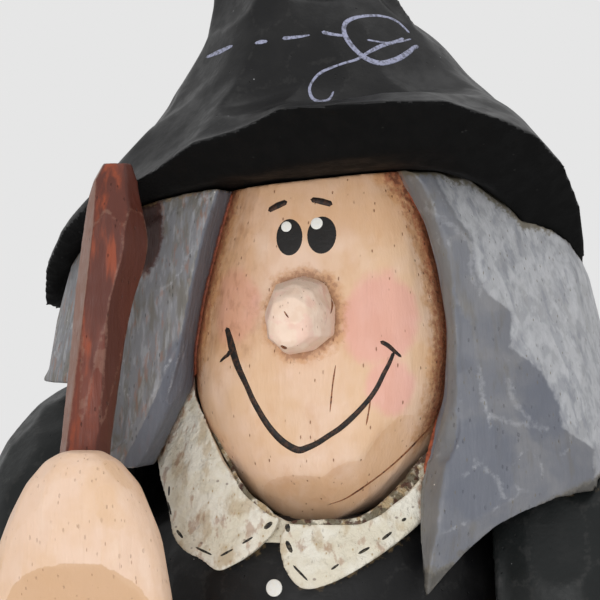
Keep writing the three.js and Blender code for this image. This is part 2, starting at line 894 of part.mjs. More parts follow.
// The hand that hangs: a mitten with its thumb in front.
function restForm(grown) {
  const cuff = armSections(1, hangingArm)[0];
  const topZ = cuff.z + rest.sink;
  const rows = [
    [1, 0.55, 0.5],
    [0.93, 0.8, 0.72],
    [0.7, 1, 0.95],
    [0.45, 0.98, 1],
    [0.28, 0.8, 0.8],
    [0, 0.78, 0.75],
  ];
  const mitten = rows.map(([share, across, deep]) => ({
    x: cuff.x,
    y: cuff.y,
    z: topZ - share * rest.length,
    left: across * rest.halfWidth,
    front: deep * rest.depth,
    square: 2.4,
  }));
  const thumb = [
    [0.74, 0.35],
    [0.66, 0.5],
    [0.5, 0.55],
    [0.36, 0.4],
  ].map(([share, reach]) => ({
    x: cuff.x - rest.halfWidth * 0.35,
    y: cuff.y - rest.depth * (1.02 - 0.35 * (0.74 - share)),
    z: topZ - share * rest.length,
    left: reach * rest.halfWidth,
    front: reach * rest.halfWidth,
  }));
  return stack(mitten, 16, grown).add(stack(thumb, 10, grown));
}

// A boot: rounded over a flat sole, running forward to a lifted, pointed toe.
function bootForm(side, grown) {
  const rows = [
    [0, 0.86, 0.95, 0],
    [0.2, 0.95, 1, 0],
    [0.48, 1, 0.95, 0],
    [0.7, 0.92, 0.72, 0],
    [0.86, 0.66, 0.56, 0.35],
    [0.96, 0.36, 0.4, 0.8],
    [1, 0.12, 0.16, 1.15],
  ];
  const hemY = -dress.hemFront;
  const heelY = hemY - boot.showing + boot.length;
  const rings = rows.map(([share, across, tall, lift]) => {
    const points = [];
    for (let k = 0; k < 14; k++) {
      const angle = (2 * Math.PI * k) / 14;
      const low = Math.sin(angle) < 0;
      const x = Math.cos(angle) * (boot.halfWidth * across + grown) * (low ? 1.05 : 1);
      const sole = dressBottom + lift * boot.toeLift;
      const z = low ? sole - grown : sole + Math.sin(angle) ** 0.8 * boot.height * tall + grown;
      points.push(new THREE.Vector3(side * boot.spread + x, heelY - share * boot.length, z));
    }
    return points;
  });
  return loft(rings);
}

// Pegs and their bores

const neckPeg = [
  new THREE.Vector3(head.shiftX / 2, head.shiftY / 2, neckZ - pegs.neckDepth),
  new THREE.Vector3(head.shiftX / 2, head.shiftY / 2, chinZ + pegs.neckDepth),
  pegs.neckRadius,
];
const hatPeg = [
  new THREE.Vector3(hat.shiftX, hat.shiftY, seatZ - pegs.hatDepth),
  new THREE.Vector3(hat.shiftX, hat.shiftY, seatZ + pegs.hatDepth),
  pegs.hatRadius,
];

function shoulderPeg(side) {
  const z = neckZ + sleeve.top - sleeve.crown;
  const joinX = dress.hemHalfWidth * 0.66;
  return [
    new THREE.Vector3(side * (joinX - pegs.shoulderDepth), sleeve.shiftY, z),
    new THREE.Vector3(side * (joinX + pegs.shoulderDepth), sleeve.shiftY, z),
    pegs.shoulderRadius,
  ];
}

// Pieces, each cut to fit the ones it is glued to

const collarRoom = () => collarForm(collar.thickness + 2 * seam);

const headSolid = () =>
  headForm(0)
    .subtract(overHat())
    .subtract(bore(...neckPeg))
    .subtract(bore(...hatPeg))
    .subtract(bore(nosePegFrom, nosePegTo, nose.pegRadius));

const noseSolid = () => noseForm().subtract(headForm(seam)).add(peg(nosePegFrom, nosePegTo, nose.pegRadius));

const hatSolid = () =>
  hatForm()
    .subtract(bore(...hatPeg))
    .subtract(stickForm(seam));

const sleeveRight = () =>
  stack([...armSections(1, hangingArm), ...shoulderSections(1)], 24)
    .subtract(dressForm(seam))
    .subtract(collarRoom())
    .subtract(restForm(seam))
    .subtract(bore(...shoulderPeg(1)));

function wristPoints() {
  const elbow = armSections(-1, bentArm)[2];
  const wristZ = gripTop - grip.height * 0.86;
  const wristY = stickAt(wristZ).y - 3;
  return [
    new THREE.Vector3(elbow.x, elbow.y - 4, elbow.z + 2),
    new THREE.Vector3(elbow.x + 4, (elbow.y + wristY) / 2, (elbow.z + wristZ) / 2 - 3),
    new THREE.Vector3(grip.shiftX - 3.5, wristY, wristZ),
  ];
}

const upperSleeveLeft = (grown) => stack([...armSections(-1, bentArm), ...shoulderSections(-1)], 24, grown);
const forearmLeft = (grown) => forearm(wristPoints(), forearmGirths, grown);

const sleeveLeft = () =>
  upperSleeveLeft(0)
    .add(forearmLeft(0))
    .subtract(dressForm(seam))
    .subtract(collarRoom())
    .subtract(gripForm(seam))
    .subtract(stickForm(seam))
    .subtract(bore(...shoulderPeg(-1)));

const gripSolid = () =>
  gripForm(0)
    .subtract(stickForm(seam))
    .subtract(dressForm(seam))
    .subtract(collarRoom());

// The room before the shoulder's crest, left of the stick, where the hair ends over the shoulder.
function beforeShoulder() {
  const crestY = sleeve.shiftY + sleeve.leanBack;
  const crestZ = neckZ + sleeve.top;
  const edgeX = stickAt(crestZ).x - stick.radius / 2;
  return block(far, far, far, edgeX - far / 2, crestY - far / 2, crestZ - far / 2);
}

const hairAll = () =>
  stack(hairSections, 40)
    .subtract(headForm(seam))
    .subtract(overHat())
    .subtract(faceCut())
    .subtract(beforeShoulder())
    .subtract(dressForm(seam))
    .subtract(collarRoom())
    .subtract(upperSleeveLeft(seam))
    .subtract(stack([...armSections(1, hangingArm), ...shoulderSections(1)], 24, seam))
    .subtract(stickForm(seam))
    .subtract(gripForm(seam));

const inFront = (side) =>
  block(far, far, far * 2, head.shiftX + (side * far) / 2, hair.sideSeamY - (far + seam) / 2, 0);
const behind = () => block(far, far, far * 2, 0, hair.sideSeamY + (far + seam) / 2, 0);

// The strip round the throat on which the lapels lie, and the room for it.
function bandForm(grown) {
  const reach = collar.bandWidth / 2 + grown;
  const low = neckZ - collar.bandDrop - grown;
  const high = neckZ + collar.bandRise + grown;
  return collarForm(collar.bandThickness + seam + grown)
    .subtract(collarForm(seam - grown))
    .intersect(block(reach * 2, far, high - low, head.shiftX / 3, -far / 2, (low + high) / 2));
}

const bandSolid = () => bandForm(0).subtract(headForm(seam)).subtract(beforeFace(seam));

function lapelSolid(outline) {
  const points = outline.map(([x, z]) => [x * collar.reach, neckZ + z * collar.standHeight]);
  return frontCut(points, -far / 4, -head.shiftY)
    .intersect(collarForm(collar.thickness + seam))
    .subtract(collarForm(seam))
    .subtract(bandForm(seam))
    .subtract(headForm(seam))
    .subtract(beforeFace(seam));
}

const dressSolid = () =>
  dressForm(0)
    .subtract(headForm(seam))
    .subtract(bore(...neckPeg))
    .subtract(bore(...shoulderPeg(-1)))
    .subtract(bore(...shoulderPeg(1)))
    .subtract(bootForm(-1, seam))
    .subtract(bootForm(1, seam));

function feltSolid() {
  const hem = dressSections[0];
  const reach = {
    left: hem.left - felt.inset,
    front: hem.front - felt.inset,
    back: hem.back - felt.inset,
  };
  return stack([{ z: 0, ...reach }, { z: felt.thickness, ...reach }], 32);
}

const bristlesSolid = () => bristleForm(0).subtract(stickForm(seam));

// Paints

function paint(color, roughness) {
  return new THREE.MeshStandardMaterial({ color, roughness, metalness: 0, flatShading: true });
}

const paints = {
  black: paint(0x232325, 0.5),
  hatBlack: paint(0x2e2f31, 0.45),
  grey: paint(0x8b8d92, 0.6),
  flesh: paint(0xdcb795, 0.6),
  linen: paint(0xd6caa9, 0.8),
  brown: paint(0x6b3c2b, 0.45),
  straw: paint(0xb38a4d, 0.8),
  twine: paint(0x7a4a30, 0.8),
  bareWood: paint(0xc9a878, 0.7),
  felt: paint(0x1d1d1d, 1),
};

// Assembly: each piece is placed by the point that it is built up from.

const figurine = new THREE.Group();
const bodyGroup = new THREE.Group();
const headGroup = new THREE.Group();
const broomGroup = new THREE.Group();
figurine.add(bodyGroup, headGroup, broomGroup);
bodyGroup.position.z = dressBottom;
headGroup.position.set(head.shiftX, head.shiftY, chinZ);
broomGroup.position.set(stick.footX, stick.footY, 0);

function place(group, name, solid, material) {
  const geometry = geometryOf(solid).translate(...group.position.clone().negate().toArray());
  const mesh = new THREE.Mesh(geometry, material);
  mesh.name = name;
  group.add(mesh);
}

place(figurine, "base_felt", feltSolid(), paints.felt);
place(bodyGroup, "dress", dressSolid(), paints.black);
place(bodyGroup, "boot_left", bootForm(-1, 0), paints.black);
place(bodyGroup, "boot_right", bootForm(1, 0), paints.black);
place(bodyGroup, "shoulder_peg_left", peg(...shoulderPeg(-1)), paints.bareWood);
place(bodyGroup, "shoulder_peg_right", peg(...shoulderPeg(1)), paints.bareWood);
place(bodyGroup, "sleeve_left", sleeveLeft(), paints.black);
place(bodyGroup, "sleeve_right", sleeveRight(), paints.black);
place(bodyGroup, "hand_left", gripSolid(), paints.flesh);
place(bodyGroup, "hand_right", restForm(0), paints.flesh);
place(bodyGroup, "collar_band", bandSolid(), paints.linen);
place(bodyGroup, "collar_left", lapelSolid(leftLapel), paints.linen);
place(bodyGroup, "collar_right", lapelSolid(rightLapel), paints.linen);
place(headGroup, "neck_peg", peg(...neckPeg), paints.bareWood);
place(headGroup, "head", headSolid(), paints.flesh);
place(headGroup, "nose", noseSolid(), paints.flesh);
place(headGroup, "hair_left", hairAll().intersect(inFront(-1)), paints.grey);
place(headGroup, "hair_right", hairAll().intersect(inFront(1)), paints.grey);
place(headGroup, "hair_back", hairAll().intersect(behind()), paints.grey);
place(headGroup, "hat_peg", peg(...hatPeg), paints.bareWood);
place(headGroup, "hat", hatSolid(), paints.hatBlack);
place(broomGroup, "broom_handle", stickForm(0), paints.brown);
place(broomGroup, "broom_bristles", bristlesSolid(), paints.straw);
const upperBindingZ = bristles.length - binding.upperBelowTop;
place(broomGroup, "broom_binding_upper", bindingSolid(upperBindingZ), paints.twine);
place(broomGroup, "broom_binding_lower", bindingSolid(upperBindingZ - binding.gap), paints.twine);

export default figurine;
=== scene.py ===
"""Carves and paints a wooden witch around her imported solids.

Sizes in this file are millimetres along the figure's own axes: +Z up, -Y towards
whoever looks at her, +X to their right. Meshes are written in metres.
"""

import math

import bmesh
import bpy
import numpy as np
from bpy.props import FloatProperty, FloatVectorProperty, PointerProperty
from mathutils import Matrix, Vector
from mathutils.bvhtree import BVHTree
from mathutils.kdtree import KDTree


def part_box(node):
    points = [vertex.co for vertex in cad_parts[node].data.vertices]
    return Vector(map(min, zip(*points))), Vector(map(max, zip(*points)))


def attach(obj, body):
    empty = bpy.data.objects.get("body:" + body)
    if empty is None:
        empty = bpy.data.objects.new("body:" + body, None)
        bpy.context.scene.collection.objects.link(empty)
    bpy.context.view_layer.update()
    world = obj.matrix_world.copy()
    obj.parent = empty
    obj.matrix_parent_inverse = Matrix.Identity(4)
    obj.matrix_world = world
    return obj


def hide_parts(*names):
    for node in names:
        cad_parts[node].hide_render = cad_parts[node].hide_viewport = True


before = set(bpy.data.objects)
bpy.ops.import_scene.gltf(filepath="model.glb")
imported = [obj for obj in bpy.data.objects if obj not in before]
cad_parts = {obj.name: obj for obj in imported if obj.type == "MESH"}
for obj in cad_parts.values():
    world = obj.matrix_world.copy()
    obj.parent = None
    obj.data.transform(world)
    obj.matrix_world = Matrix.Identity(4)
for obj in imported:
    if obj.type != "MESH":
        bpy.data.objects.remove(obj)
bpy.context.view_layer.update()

bl_info = {
    "name": "Carved Wooden Witch",
    "version": (1, 0, 0),
    "blender": (4, 5, 0),
    "location": "View3D > Sidebar > Witch",
    "description": "Carves and paints a wooden witch around her packed solids",
    "category": "Object",
}

MM = 0.001
BODY = "root"
WELD = 1e-6

ARRIS_REACH = 2.4  # how far from a sharp edge of the rough block the knife is held back
ARRIS_STEP = 0.7  # spacing of the points that stand for a sharp edge
ARRIS_CORE = 0.25  # the share of a reach within which a point counts as on the edge
PUSH_BACK = -1.04  # how strongly evening out undoes the shrinking of each rub
WORN_FROM, SUNK_FROM = 0.25, 0.15  # how far wood stands out or lies deep before that shows
LEAST_POINTS = 50  # a rough cut with fewer points than this has failed

# How a knife flat lies on the wood. Distances are shares of the flat's reach.
FLAT_SPREAD = (0.75, 1.3)  # how far the flats differ in reach
BLADE = 1.9  # how far out the knife may touch the wood
RING = (0.6, 1.2)  # where the wood round a flat is measured, squared
RING_SHARE = 0.8  # how much of that ring lies below the height taken for it
DROP = 1.6  # how deep a flat goes below that height
SAME_SIDE = 0.35  # least cosine between a flat and the wood that it cuts
LIFT, LIFT_FROM = 0.4, 1.1  # how the knife comes up again at the rim
SEEN_CUT = 0.03  # millimetres of depth from which a cut shows

# Numbers for the flats that aren't whittled. Whittled ones go by the point that they start from.
PARED, BEVELLED, HEWN = 10**7, 2 * 10**7, 3 * 10**7

BRUSH_DEPTH = -20  # the plane, seen from the front, in which brush strokes are given
SLANT = 0.19  # how far the brush comes from the right for the hat, the nose and the lock's edge
SIGHT = 180  # how far before that plane the brush starts
ROW = 0.32  # spacing of the rows along a stroke
POLE = 1e-4  # points of a stroke nearer its axis than this are its ends
SEARCH = 160  # most steps taken in the search for a joint
JOINT = 1.5  # widest joint whose middle the glaze follows


def linear(*levels):
    """A paint's colour from its 0 to 255 levels on a paint card."""
    return tuple(
        (v / 255 / 12.92) if v <= 10 else ((v / 255 + 0.055) / 1.055) ** 2.4
        for v in levels
    )


def length(name, words, value):
    return FloatProperty(name=name, description=words, default=value * MM, unit="LENGTH", precision=5)


def tint(name, words, *levels):
    return FloatVectorProperty(
        name=name, description=words, default=linear(*levels), size=3, min=0, max=1, subtype="COLOR"
    )


class WitchCarving(bpy.types.PropertyGroup):
    """How finely the wood is cut."""

    skin: length("Skin", "Spacing of the points that carry the face's knife work", 0.36)
    hat_skin: length("Hat skin", "Spacing of the points on the hat", 0.52)
    hair_skin: length("Hair skin", "Spacing of the points on the hair", 0.48)
    cloth_skin: length("Cloth skin", "Spacing of the points on dress and sleeves", 0.85)
    hat_flat: length("Hat flat", "Radius of one knife flat on the hat", 8.5)
    hair_flat: length("Hair flat", "Radius of one knife flat on the hair", 5.5)
    face_flat: length("Face flat", "Radius of one knife flat on the face", 7.5)
    nose_flat: length("Nose flat", "Radius of one knife flat on the nose", 2.3)
    hand_flat: length("Hand flat", "Radius of one knife flat on the hands", 5.0)
    dress_flat: length("Dress flat", "Radius of one knife flat on the dress", 6.5)
    paint_body: length("Paint body", "How thick a painted line stands on the wood", 0.07)


class WitchPaints(bpy.types.PropertyGroup):
    """The paint pots."""

    flesh: tint("Flesh", "Base coat of face and hands", 233, 200, 175)
    flesh_warm: tint("Warm flesh", "Second, sandier flesh coat", 224, 184, 144)
    honey: tint("Honey", "Golden-brown glaze on flesh", 202, 146, 96)
    flesh_light: tint("Light flesh", "Light dry brush on flesh", 240, 213, 192)
    umber: tint("Umber", "Antiquing glaze on flesh", 150, 96, 62)
    rust: tint("Rust", "Red-brown glaze at the rim of the face", 160, 84, 56)
    blush: tint("Blush", "Rouge on the cheeks", 230, 162, 154)
    # Liner also darkens the hair beside the stick as painted shadow
    liner: tint("Liner", "Liner for mouth, brows and eyes", 24, 20, 18)
    white: tint("White", "White for the eye lights and buttons", 236, 235, 230)
    grey: tint("Grey", "Base coat of the hair", 126, 126, 129)
    slate: tint("Slate", "Cooler, darker coat in the hair", 98, 102, 113)
    # Silver is dry brush, and on the hair's upper and outer faces also painted highlight
    silver: tint("Silver", "Light dry brush on the hair", 186, 187, 190)
    olive: tint("Olive", "Brown-green glaze in the hair", 104, 96, 78)
    cream: tint("Cream", "Base coat of the collar", 222, 214, 194)
    cream_light: tint("Light cream", "Light dry brush on the collar", 236, 232, 220)
    tan: tint("Tan", "Antiquing glaze on the collar", 176, 148, 104)
    black: tint("Black", "Black of hat and dress", 19, 19, 20)
    black_green: tint("Green black", "Black of the sleeves", 20, 23, 23)
    black_worn: tint("Worn black", "Rubbed edges of the black", 58, 57, 56)
    # The under black is painted shade: a darker, flatter copy of the hat's black for the brim's
    # underside, which looks down
    black_under: tint("Under black", "Flat black under the brim", 8, 8, 8)
    wear_tan: tint("Bared edge", "Wood tone where an edge is rubbed bare", 134, 112, 78)
    lavender: tint("Lavender", "Line and curl on the hat", 160, 163, 188)
    stain: tint("Stain", "Base stain of the stick", 108, 54, 40)
    # The dusty stain is also painted sheen on the stick's left side; the dark stain is also painted
    # shade on its right side and beside the stick on the hair
    dusty_stain_and_sheen: tint("Dusty stain", "Stain bleached by handling", 138, 102, 86)
    dark_stain_and_shade: tint("Dark stain", "Stain that has gathered on the stick", 74, 36, 27)
    stain_orange: tint("Orange stain", "Stain rubbed thin on the stick", 150, 70, 40)
    straw: tint("Straw", "Base stain of the broom", 184, 140, 84)
    straw_dark: tint("Dark straw", "Stain between the splints", 92, 58, 30)
    twine: tint("Twine", "Twine round the broom", 128, 92, 58)
    felt: tint("Felt", "Felt under the dress", 32, 32, 33)
    pale: tint("Bare wood", "Bare turned pegs", 204, 166, 118)
    paper: tint("Paper", "Floor and background", 230, 230, 230)


def sizes():
    """The sizes that the sidebar shows."""
    return bpy.context.scene.witch_carving


def pots():
    """The paints that the sidebar shows."""
    return bpy.context.scene.witch_paints


def unit(rows):
    """Rows as directions of length one."""
    long = np.linalg.norm(rows, axis=-1, keepdims=True)
    return rows / np.where(long < 1e-12, 1, long)


def eased(values, low, high):
    """0 below low, 1 above high, and a smooth way between."""
    t = np.clip((values - low) / (high - low), 0, 1)
    return t * t * (3 - 2 * t)


def oval_mark(x, z, middle, height, half_wide, half_high, strength):
    """A soft oval seen from the front, of that strength in its middle."""
    far = np.hypot((x - middle) / half_wide, (z - height) / half_high)
    return strength * (1 - eased(far, 0.45, 1.15))


def rows_of(parts, field, width, kind=np.int32):
    """One field of a mesh's points, edges or triangles, a row for each."""
    row = np.empty(len(parts) * width, kind)
    parts.foreach_get(field, row)
    return row.reshape(-1, width)


def set_down(mesh, name, slot, *coats):
    """Makes a finished mesh a piece of the figure."""
    mesh.shade_smooth()
    for coat in coats:
        mesh.materials.append(coat)
    piece = bpy.data.objects.new(name, mesh)
    bpy.context.scene.collection.objects.link(piece)
    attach(piece, BODY)
    return piece


class Blank:
    """One block of wood under the knife: its points in millimetres, and what joins them."""

    def __init__(self, node, cell, sharp=37, even=0, rub=0):
        self.node = node
        self.cell = cell / MM
        stock = bmesh.new()
        stock.from_mesh(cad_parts[node].data)
        bmesh.ops.remove_doubles(stock, verts=stock.verts, dist=WELD)
        self.arrises = self.find_arrises(stock, math.radians(sharp))
        rough = bpy.data.meshes.new(node + "_rough")
        stock.to_mesh(rough)
        stock.free()
        self.mesh = self.even_skin(rough, cell)
        self.mesh.calc_loop_triangles()
        self.points = rows_of(self.mesh.vertices, "co", 3, np.float32).astype(float) / MM
        self.joins = rows_of(self.mesh.edges, "vertices", 2)
        self.tris = rows_of(self.mesh.loop_triangles, "vertices", 3)
        count = len(self.points)
        if count < LEAST_POINTS:
            raise RuntimeError(node + " came out of the rough cut with no skin")
        self.degree = np.maximum(np.bincount(self.joins.ravel(), minlength=count), 1)
        self.flat = np.full(count, -1)
        self.marks = {}
        self.hold = self.near_arris(ARRIS_REACH)
        self.even_out(even)
        self.soften(rub)

    @staticmethod
    def even_skin(rough, cell):
        """The rough block's mesh again, with its points at even spacing."""
        holder = bpy.data.objects.new(rough.name, rough)
        bpy.context.scene.collection.objects.link(holder)
        even = holder.modifiers.new("Even skin", "REMESH")
        even.mode = "VOXEL"
        even.voxel_size = cell
        graph = bpy.context.evaluated_depsgraph_get()
        mesh = bpy.data.meshes.new_from_object(holder.evaluated_get(graph))
        bpy.data.objects.remove(holder)
        return mesh

    @staticmethod
    def find_arrises(stock, turn):
        """Points along the sharp edges of the rough block."""
        found = []
        for edge in stock.edges:
            if len(edge.link_faces) == 2 and edge.calc_face_angle() > turn:
                a, b = (v.co / MM for v in edge.verts)
                steps = max(1, int((b - a).length / ARRIS_STEP))
                found += [a.lerp(b, i / steps) for i in range(steps + 1)]
        return found

    def near_arris(self, reach):
        """1 on a sharp edge of the rough block, fading to 0 at reach."""
        if not self.arrises:
            return np.zeros(len(self.points))
        tree = KDTree(len(self.arrises))
        for i, p in enumerate(self.arrises):
            tree.insert(p, i)
        tree.balance()
        gaps = np.array([tree.find(p)[2] for p in self.points])
        return 1 - eased(gaps, ARRIS_CORE * reach, reach)

    def spread(self, values, rounds=1):
        """Each point takes the mean of itself and its neighbours, rounds times over."""
        a, b = self.joins.T
        count = len(self.points)
        columns = values.reshape(count, -1).astype(float)
        for _ in range(rounds):
            mixed = np.empty_like(columns)
            for k in range(columns.shape[1]):
                c = columns[:, k]
                total = np.bincount(a, c[b], count) + np.bincount(b, c[a], count)
                mixed[:, k] = 0.5 * c + 0.5 * total / self.degree
            columns = mixed
        return columns.reshape(values.shape)

    def facing(self, rounds=0):
        """Which way each point looks, averaged over rounds of neighbours."""
        p = self.points
        a, b, c = (p[self.tris[:, i]] for i in range(3))
        leaf = np.cross(b - a, c - a)
        out = np.zeros_like(p)
        for k in range(3):
            for corner in range(3):
                out[:, k] += np.bincount(self.tris[:, corner], leaf[:, k], len(p))
        return unit(self.spread(unit(out), rounds)) if rounds else unit(out)

    def soften(self, rounds, everywhere=False):
        """Rubs the wood down, but for the sharp edges unless everywhere is set."""
        keep = np.zeros(len(self.points)) if everywhere else self.hold
        for _ in range(rounds):
            self.points += (self.spread(self.points) - self.points) * (1 - keep)[:, None]

    def even_out(self, rounds):
        """Takes the stairs of the skin out of the sharp edges without shrinking the wood."""
        for _ in range(rounds):
            for push in (1.0, PUSH_BACK):
                self.points += (self.spread(self.points) - self.points) * push

    def keep_seam(self, reach, *nodes):
        """Keeps the knife off the glue lines with these pieces, and notes where they run."""
        self.near_pieces("seam", reach, *nodes)
        self.hold = np.maximum(self.hold, eased(self.marks["seam"], 0.1, 0.6))

    def whittle(
        self, reach, depth, scoop=0.06, tilt=0.05, seed=1, where=None, gap=1.15, stretch=(1, 1, 1)
    ):
        """Covers the wood with knife flats of about that reach, none deeper than depth.

        Scoop hollows each flat and tilt turns it at random. Flats start at least gap of
        their reach apart, only where that is set, and are drawn out by stretch.
        """
        reach = reach / MM
        chance = np.random.default_rng(seed)
        broad = self.facing(int((0.5 * reach / self.cell) ** 2) + 1)
        pull = 1 / np.array(stretch, float)
        free = np.ones(len(self.points), bool) if where is None else where > 0.5
        uncut = self.points.copy()
        for pick in chance.permutation(len(self.points)):
            if not free[pick]:
                continue
            size = reach * chance.uniform(*FLAT_SPREAD)
            face = unit(broad[pick] + chance.normal(0, tilt, 3))
            tone = chance.random()
            away = self.points - uncut[pick]
            drawn = away * pull
            far = np.einsum("ij,ij->i", drawn, drawn)
            free[far < (gap * size) ** 2] = False
            near = np.flatnonzero(far < (BLADE * size) ** 2)
            height = away[near] @ face
            flat_gap = np.maximum(far[near] - height**2, 0) / size**2
            looks = broad[near] @ face > SAME_SIDE
            ring = looks & (flat_gap > RING[0]) & (flat_gap < RING[1])
            rim = np.quantile(height[ring], RING_SHARE) if ring.any() else -depth
            if rim > 0:
                continue
            drop = min(-DROP * rim, depth)
            lift = LIFT * size * np.maximum(np.sqrt(flat_gap) - LIFT_FROM, 0) ** 2
            over = (height + drop + scoop - scoop * flat_gap - lift) * (1 - self.hold[near])
            cut = looks & (over > 0)
            self.points[near[cut]] -= over[cut, None] * face
            seen = looks & (over > SEEN_CUT)
            self.flat[near[seen]] = int(pick)
            self.marks.setdefault("flat", np.full(len(self.points), 0.5))[near[seen]] = tone

    def pare(self, spot, face, depth=0.0, within=12.0):
        """Takes one wide flat off, depth below a measured spot of the surface, looking along face."""
        face = unit(np.array(face, float))
        away = self.points - np.array(spot, float)
        height = away @ face
        aside = np.sqrt(np.maximum((away**2).sum(1) - height**2, 0)) / within
        over = height + depth - LIFT * within * np.maximum(aside - 1, 0) ** 2
        cut = (over > 0) & (aside < 2) & (height < within)
        self.points[cut] -= over[cut, None] * face
        self.flat[cut] = PARED + int(abs(spot[0]) * 10 + spot[2])
        return cut

    def hew(self, low, high, face, reach):
        """Takes one long flat off along the line from low to high, reach out from it."""
        low, way = np.array(low, float), unit(np.array(high, float) - low)
        face = np.array(face, float)
        face = unit(face - (face @ way) * way)
        over = (self.points - low) @ face - reach
        cut = over > 0
        self.points[cut] -= over[cut, None] * face
        self.flat[cut] = HEWN + int(abs(face[0]) * 100)

    def bevel(self, course, side, fall):
        """Bevels the front along a course of (x, y, z), falling back to one side of it."""
        line = np.array(sorted(course, key=lambda p: p[2]), float)
        x, y, z = self.points.T
        edge = np.interp(z, line[:, 2], line[:, 0])
        front = np.interp(z, line[:, 2], line[:, 1])
        past = side * (x - edge)
        tall = (z > line[0, 2] - 3) & (z < line[-1, 2] + 3)
        cut = (past > 0) & (y < front + past * fall) & tall
        self.points[cut, 1] = (front + past * fall)[cut]
        self.flat[cut] = BEVELLED
        self.marks["bevel"] = np.where(cut, 1.0, 0.0)

    def finish(self, rub, reach, *nodes, rounds=5):
        """The last rub, and notes on the edges and on the pieces that lie near."""
        self.soften(rub)
        self.read_edges(rounds)
        self.near_pieces("near", reach, *nodes)

    def read_edges(self, rounds=5, worn=0.16, sunk=0.1):
        """Notes where the surface stands out, where it is hollow and where two flats meet."""
        lean = np.einsum("ij,ij->i", self.spread(self.points, rounds) - self.points, self.facing())
        for mark, deep in (("worn", -lean / worn - WORN_FROM), ("sunk", lean / sunk - SUNK_FROM)):
            self.marks[mark] = np.clip(self.spread(np.clip(deep, 0, 1), 2), 0, 1)
        a, b = self.joins.T
        differ = self.flat[a] != self.flat[b]
        ridge = np.zeros(len(self.points))
        ridge[self.joins[differ].ravel()] = 1
        self.marks["ridge"] = self.spread(ridge, 2)

    def near_courses(self, name, reach, courses):
        """Notes how close each point lies to lines given as a brush from the front follows them."""
        x, y, z = self.points.T
        seen = np.stack([x + SLANT * (y - BRUSH_DEPTH), z], 1)
        gaps = np.full(len(seen), reach)
        for spots in courses:
            for spot in smooth_course(spots, 60)[0]:
                gaps = np.minimum(gaps, np.hypot(*(seen - spot).T))
        self.marks[name] = 1 - gaps / reach

    def near_pieces(self, name, reach, *nodes):
        """Notes how close each point lies to the neighbouring pieces."""
        close = np.zeros(len(self.points))
        for node in nodes:
            low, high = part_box(node)
            low = np.array(low) / MM - reach
            high = np.array(high) / MM + reach
            tree = rough_tree(node)
            inside = np.flatnonzero(((self.points > low) & (self.points < high)).all(1))
            for i in inside:
                gap = tree.find_nearest(self.points[i] * MM, reach * MM)[3]
                if gap is not None:
                    close[i] = max(close[i], 1 - gap / MM / reach)
        self.marks[name] = np.clip(close, 0, 1)

    def tree(self):
        """The carved surface, in millimetres, for paint to lie on."""
        return BVHTree.FromPolygons(self.points.tolist(), self.tris.tolist())

    def mount(self, name, slot, *coats):
        """Makes the carved blank a piece of the figure, in place of its rough block."""
        mesh = self.mesh
        mesh.name = name
        mesh.vertices.foreach_set("co", (self.points * MM).astype(np.float32).ravel())
        for mark, values in self.marks.items():
            layer = mesh.attributes.new(mark, "FLOAT", "POINT")
            layer.data.foreach_set("value", values.astype(np.float32))
        mesh.update()
        piece = set_down(mesh, name, slot, *coats)
        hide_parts(self.node)
        return piece


ROUGH_TREES = {}
CARVED = {}


def rough_tree(node):
    if node not in ROUGH_TREES:
        stock = bmesh.new()
        stock.from_mesh(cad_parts[node].data)
        ROUGH_TREES[node] = BVHTree.FromBMesh(stock)
        stock.free()
    return ROUGH_TREES[node]


def lie_on(ground, x, z, slant=0.0):
    """Where a brush from the front and slant to the right meets the wood, and how the wood looks."""
    way = Vector((-slant, 1, 0)).normalized()
    hand = Vector((x, BRUSH_DEPTH, z))
    spot, face, _, _ = ground.ray_cast(hand - SIGHT * way, way)
    if spot is None:
        spot, face, _, _ = ground.find_nearest(hand)
    return np.array(spot), np.array(face)


def smooth_course(spots, steps):
    """Points at even spacing on the curve through spots, and its length."""
    p = np.array([spots[0], *spots, spots[-1]], float)
    p[0] = 2 * p[1] - p[2]
    p[-1] = 2 * p[-2] - p[-3]
    t = np.linspace(0, 1, 24, endpoint=False)[:, None]
    parts = []
    for i in range(1, len(p) - 2):
        a, b, c, d = p[i - 1 : i + 3]
        curve = 2 * b + (c - a) * t + (2 * a - 5 * b + 4 * c - d) * t**2 + (3 * b - a - 3 * c + d) * t**3
        parts.append(0.5 * curve)
    fine = np.concatenate([*parts, p[-2:-1]])
    run = np.concatenate([[0], np.cumsum(np.linalg.norm(np.diff(fine, axis=0), axis=1))])
    even = np.linspace(0, run[-1], steps)
    return np.stack([np.interp(even, run, fine[:, k]) for k in range(2)], 1), run[-1]


def along(values, rows):
    """Values given from the start to the end of a stroke, one for each of its rows."""
    return np.interp(np.linspace(0, 1, rows + 1), np.linspace(0, 1, len(values)), values)


def strand(shape, rows):
    """Adds a thin round form, and gives each point with its row, side and rise, and if it is an end."""
    for v in bmesh.ops.create_uvsphere(shape, u_segments=8, v_segments=rows, radius=1)["verts"]:
        row = round(math.acos(max(-1, min(1, -v.co.z))) / math.pi * rows)
        off = math.hypot(v.co.x, v.co.y)
        end = off <= POLE
        yield v, row, 0 if end else v.co.x / off, 0 if end else v.co.y / off, end


def brush_line(shape, ground, spots, widths, body=1.0, slant=0.0):
    """Adds one brush stroke through spots (x, z), widths given from its start to its end."""
    rows = max(8, int(sum(math.dist(a, b) for a, b in zip(spots, spots[1:])) / ROW))
    course, run = smooth_course(spots, rows + 1)
    way = unit(np.gradient(course, axis=0))
    widths = along(widths, rows)
    thick = sizes().paint_body / MM * body
    for v, row, across, up, end in strand(shape, rows):
        from_end = min(row, rows - row) * run / rows
        half = widths[row] / 2
        full = 0 if end else math.sqrt(max(0, 1 - (1 - min(1, from_end / half)) ** 2))
        side = np.array([-way[row][1], way[row][0]])
        x, z = course[row] + side * across * half * full
        spot, face = lie_on(ground, x, z, slant)
        v.co = Vector((spot + face * thick * up * max(full, 0.2)) * MM)


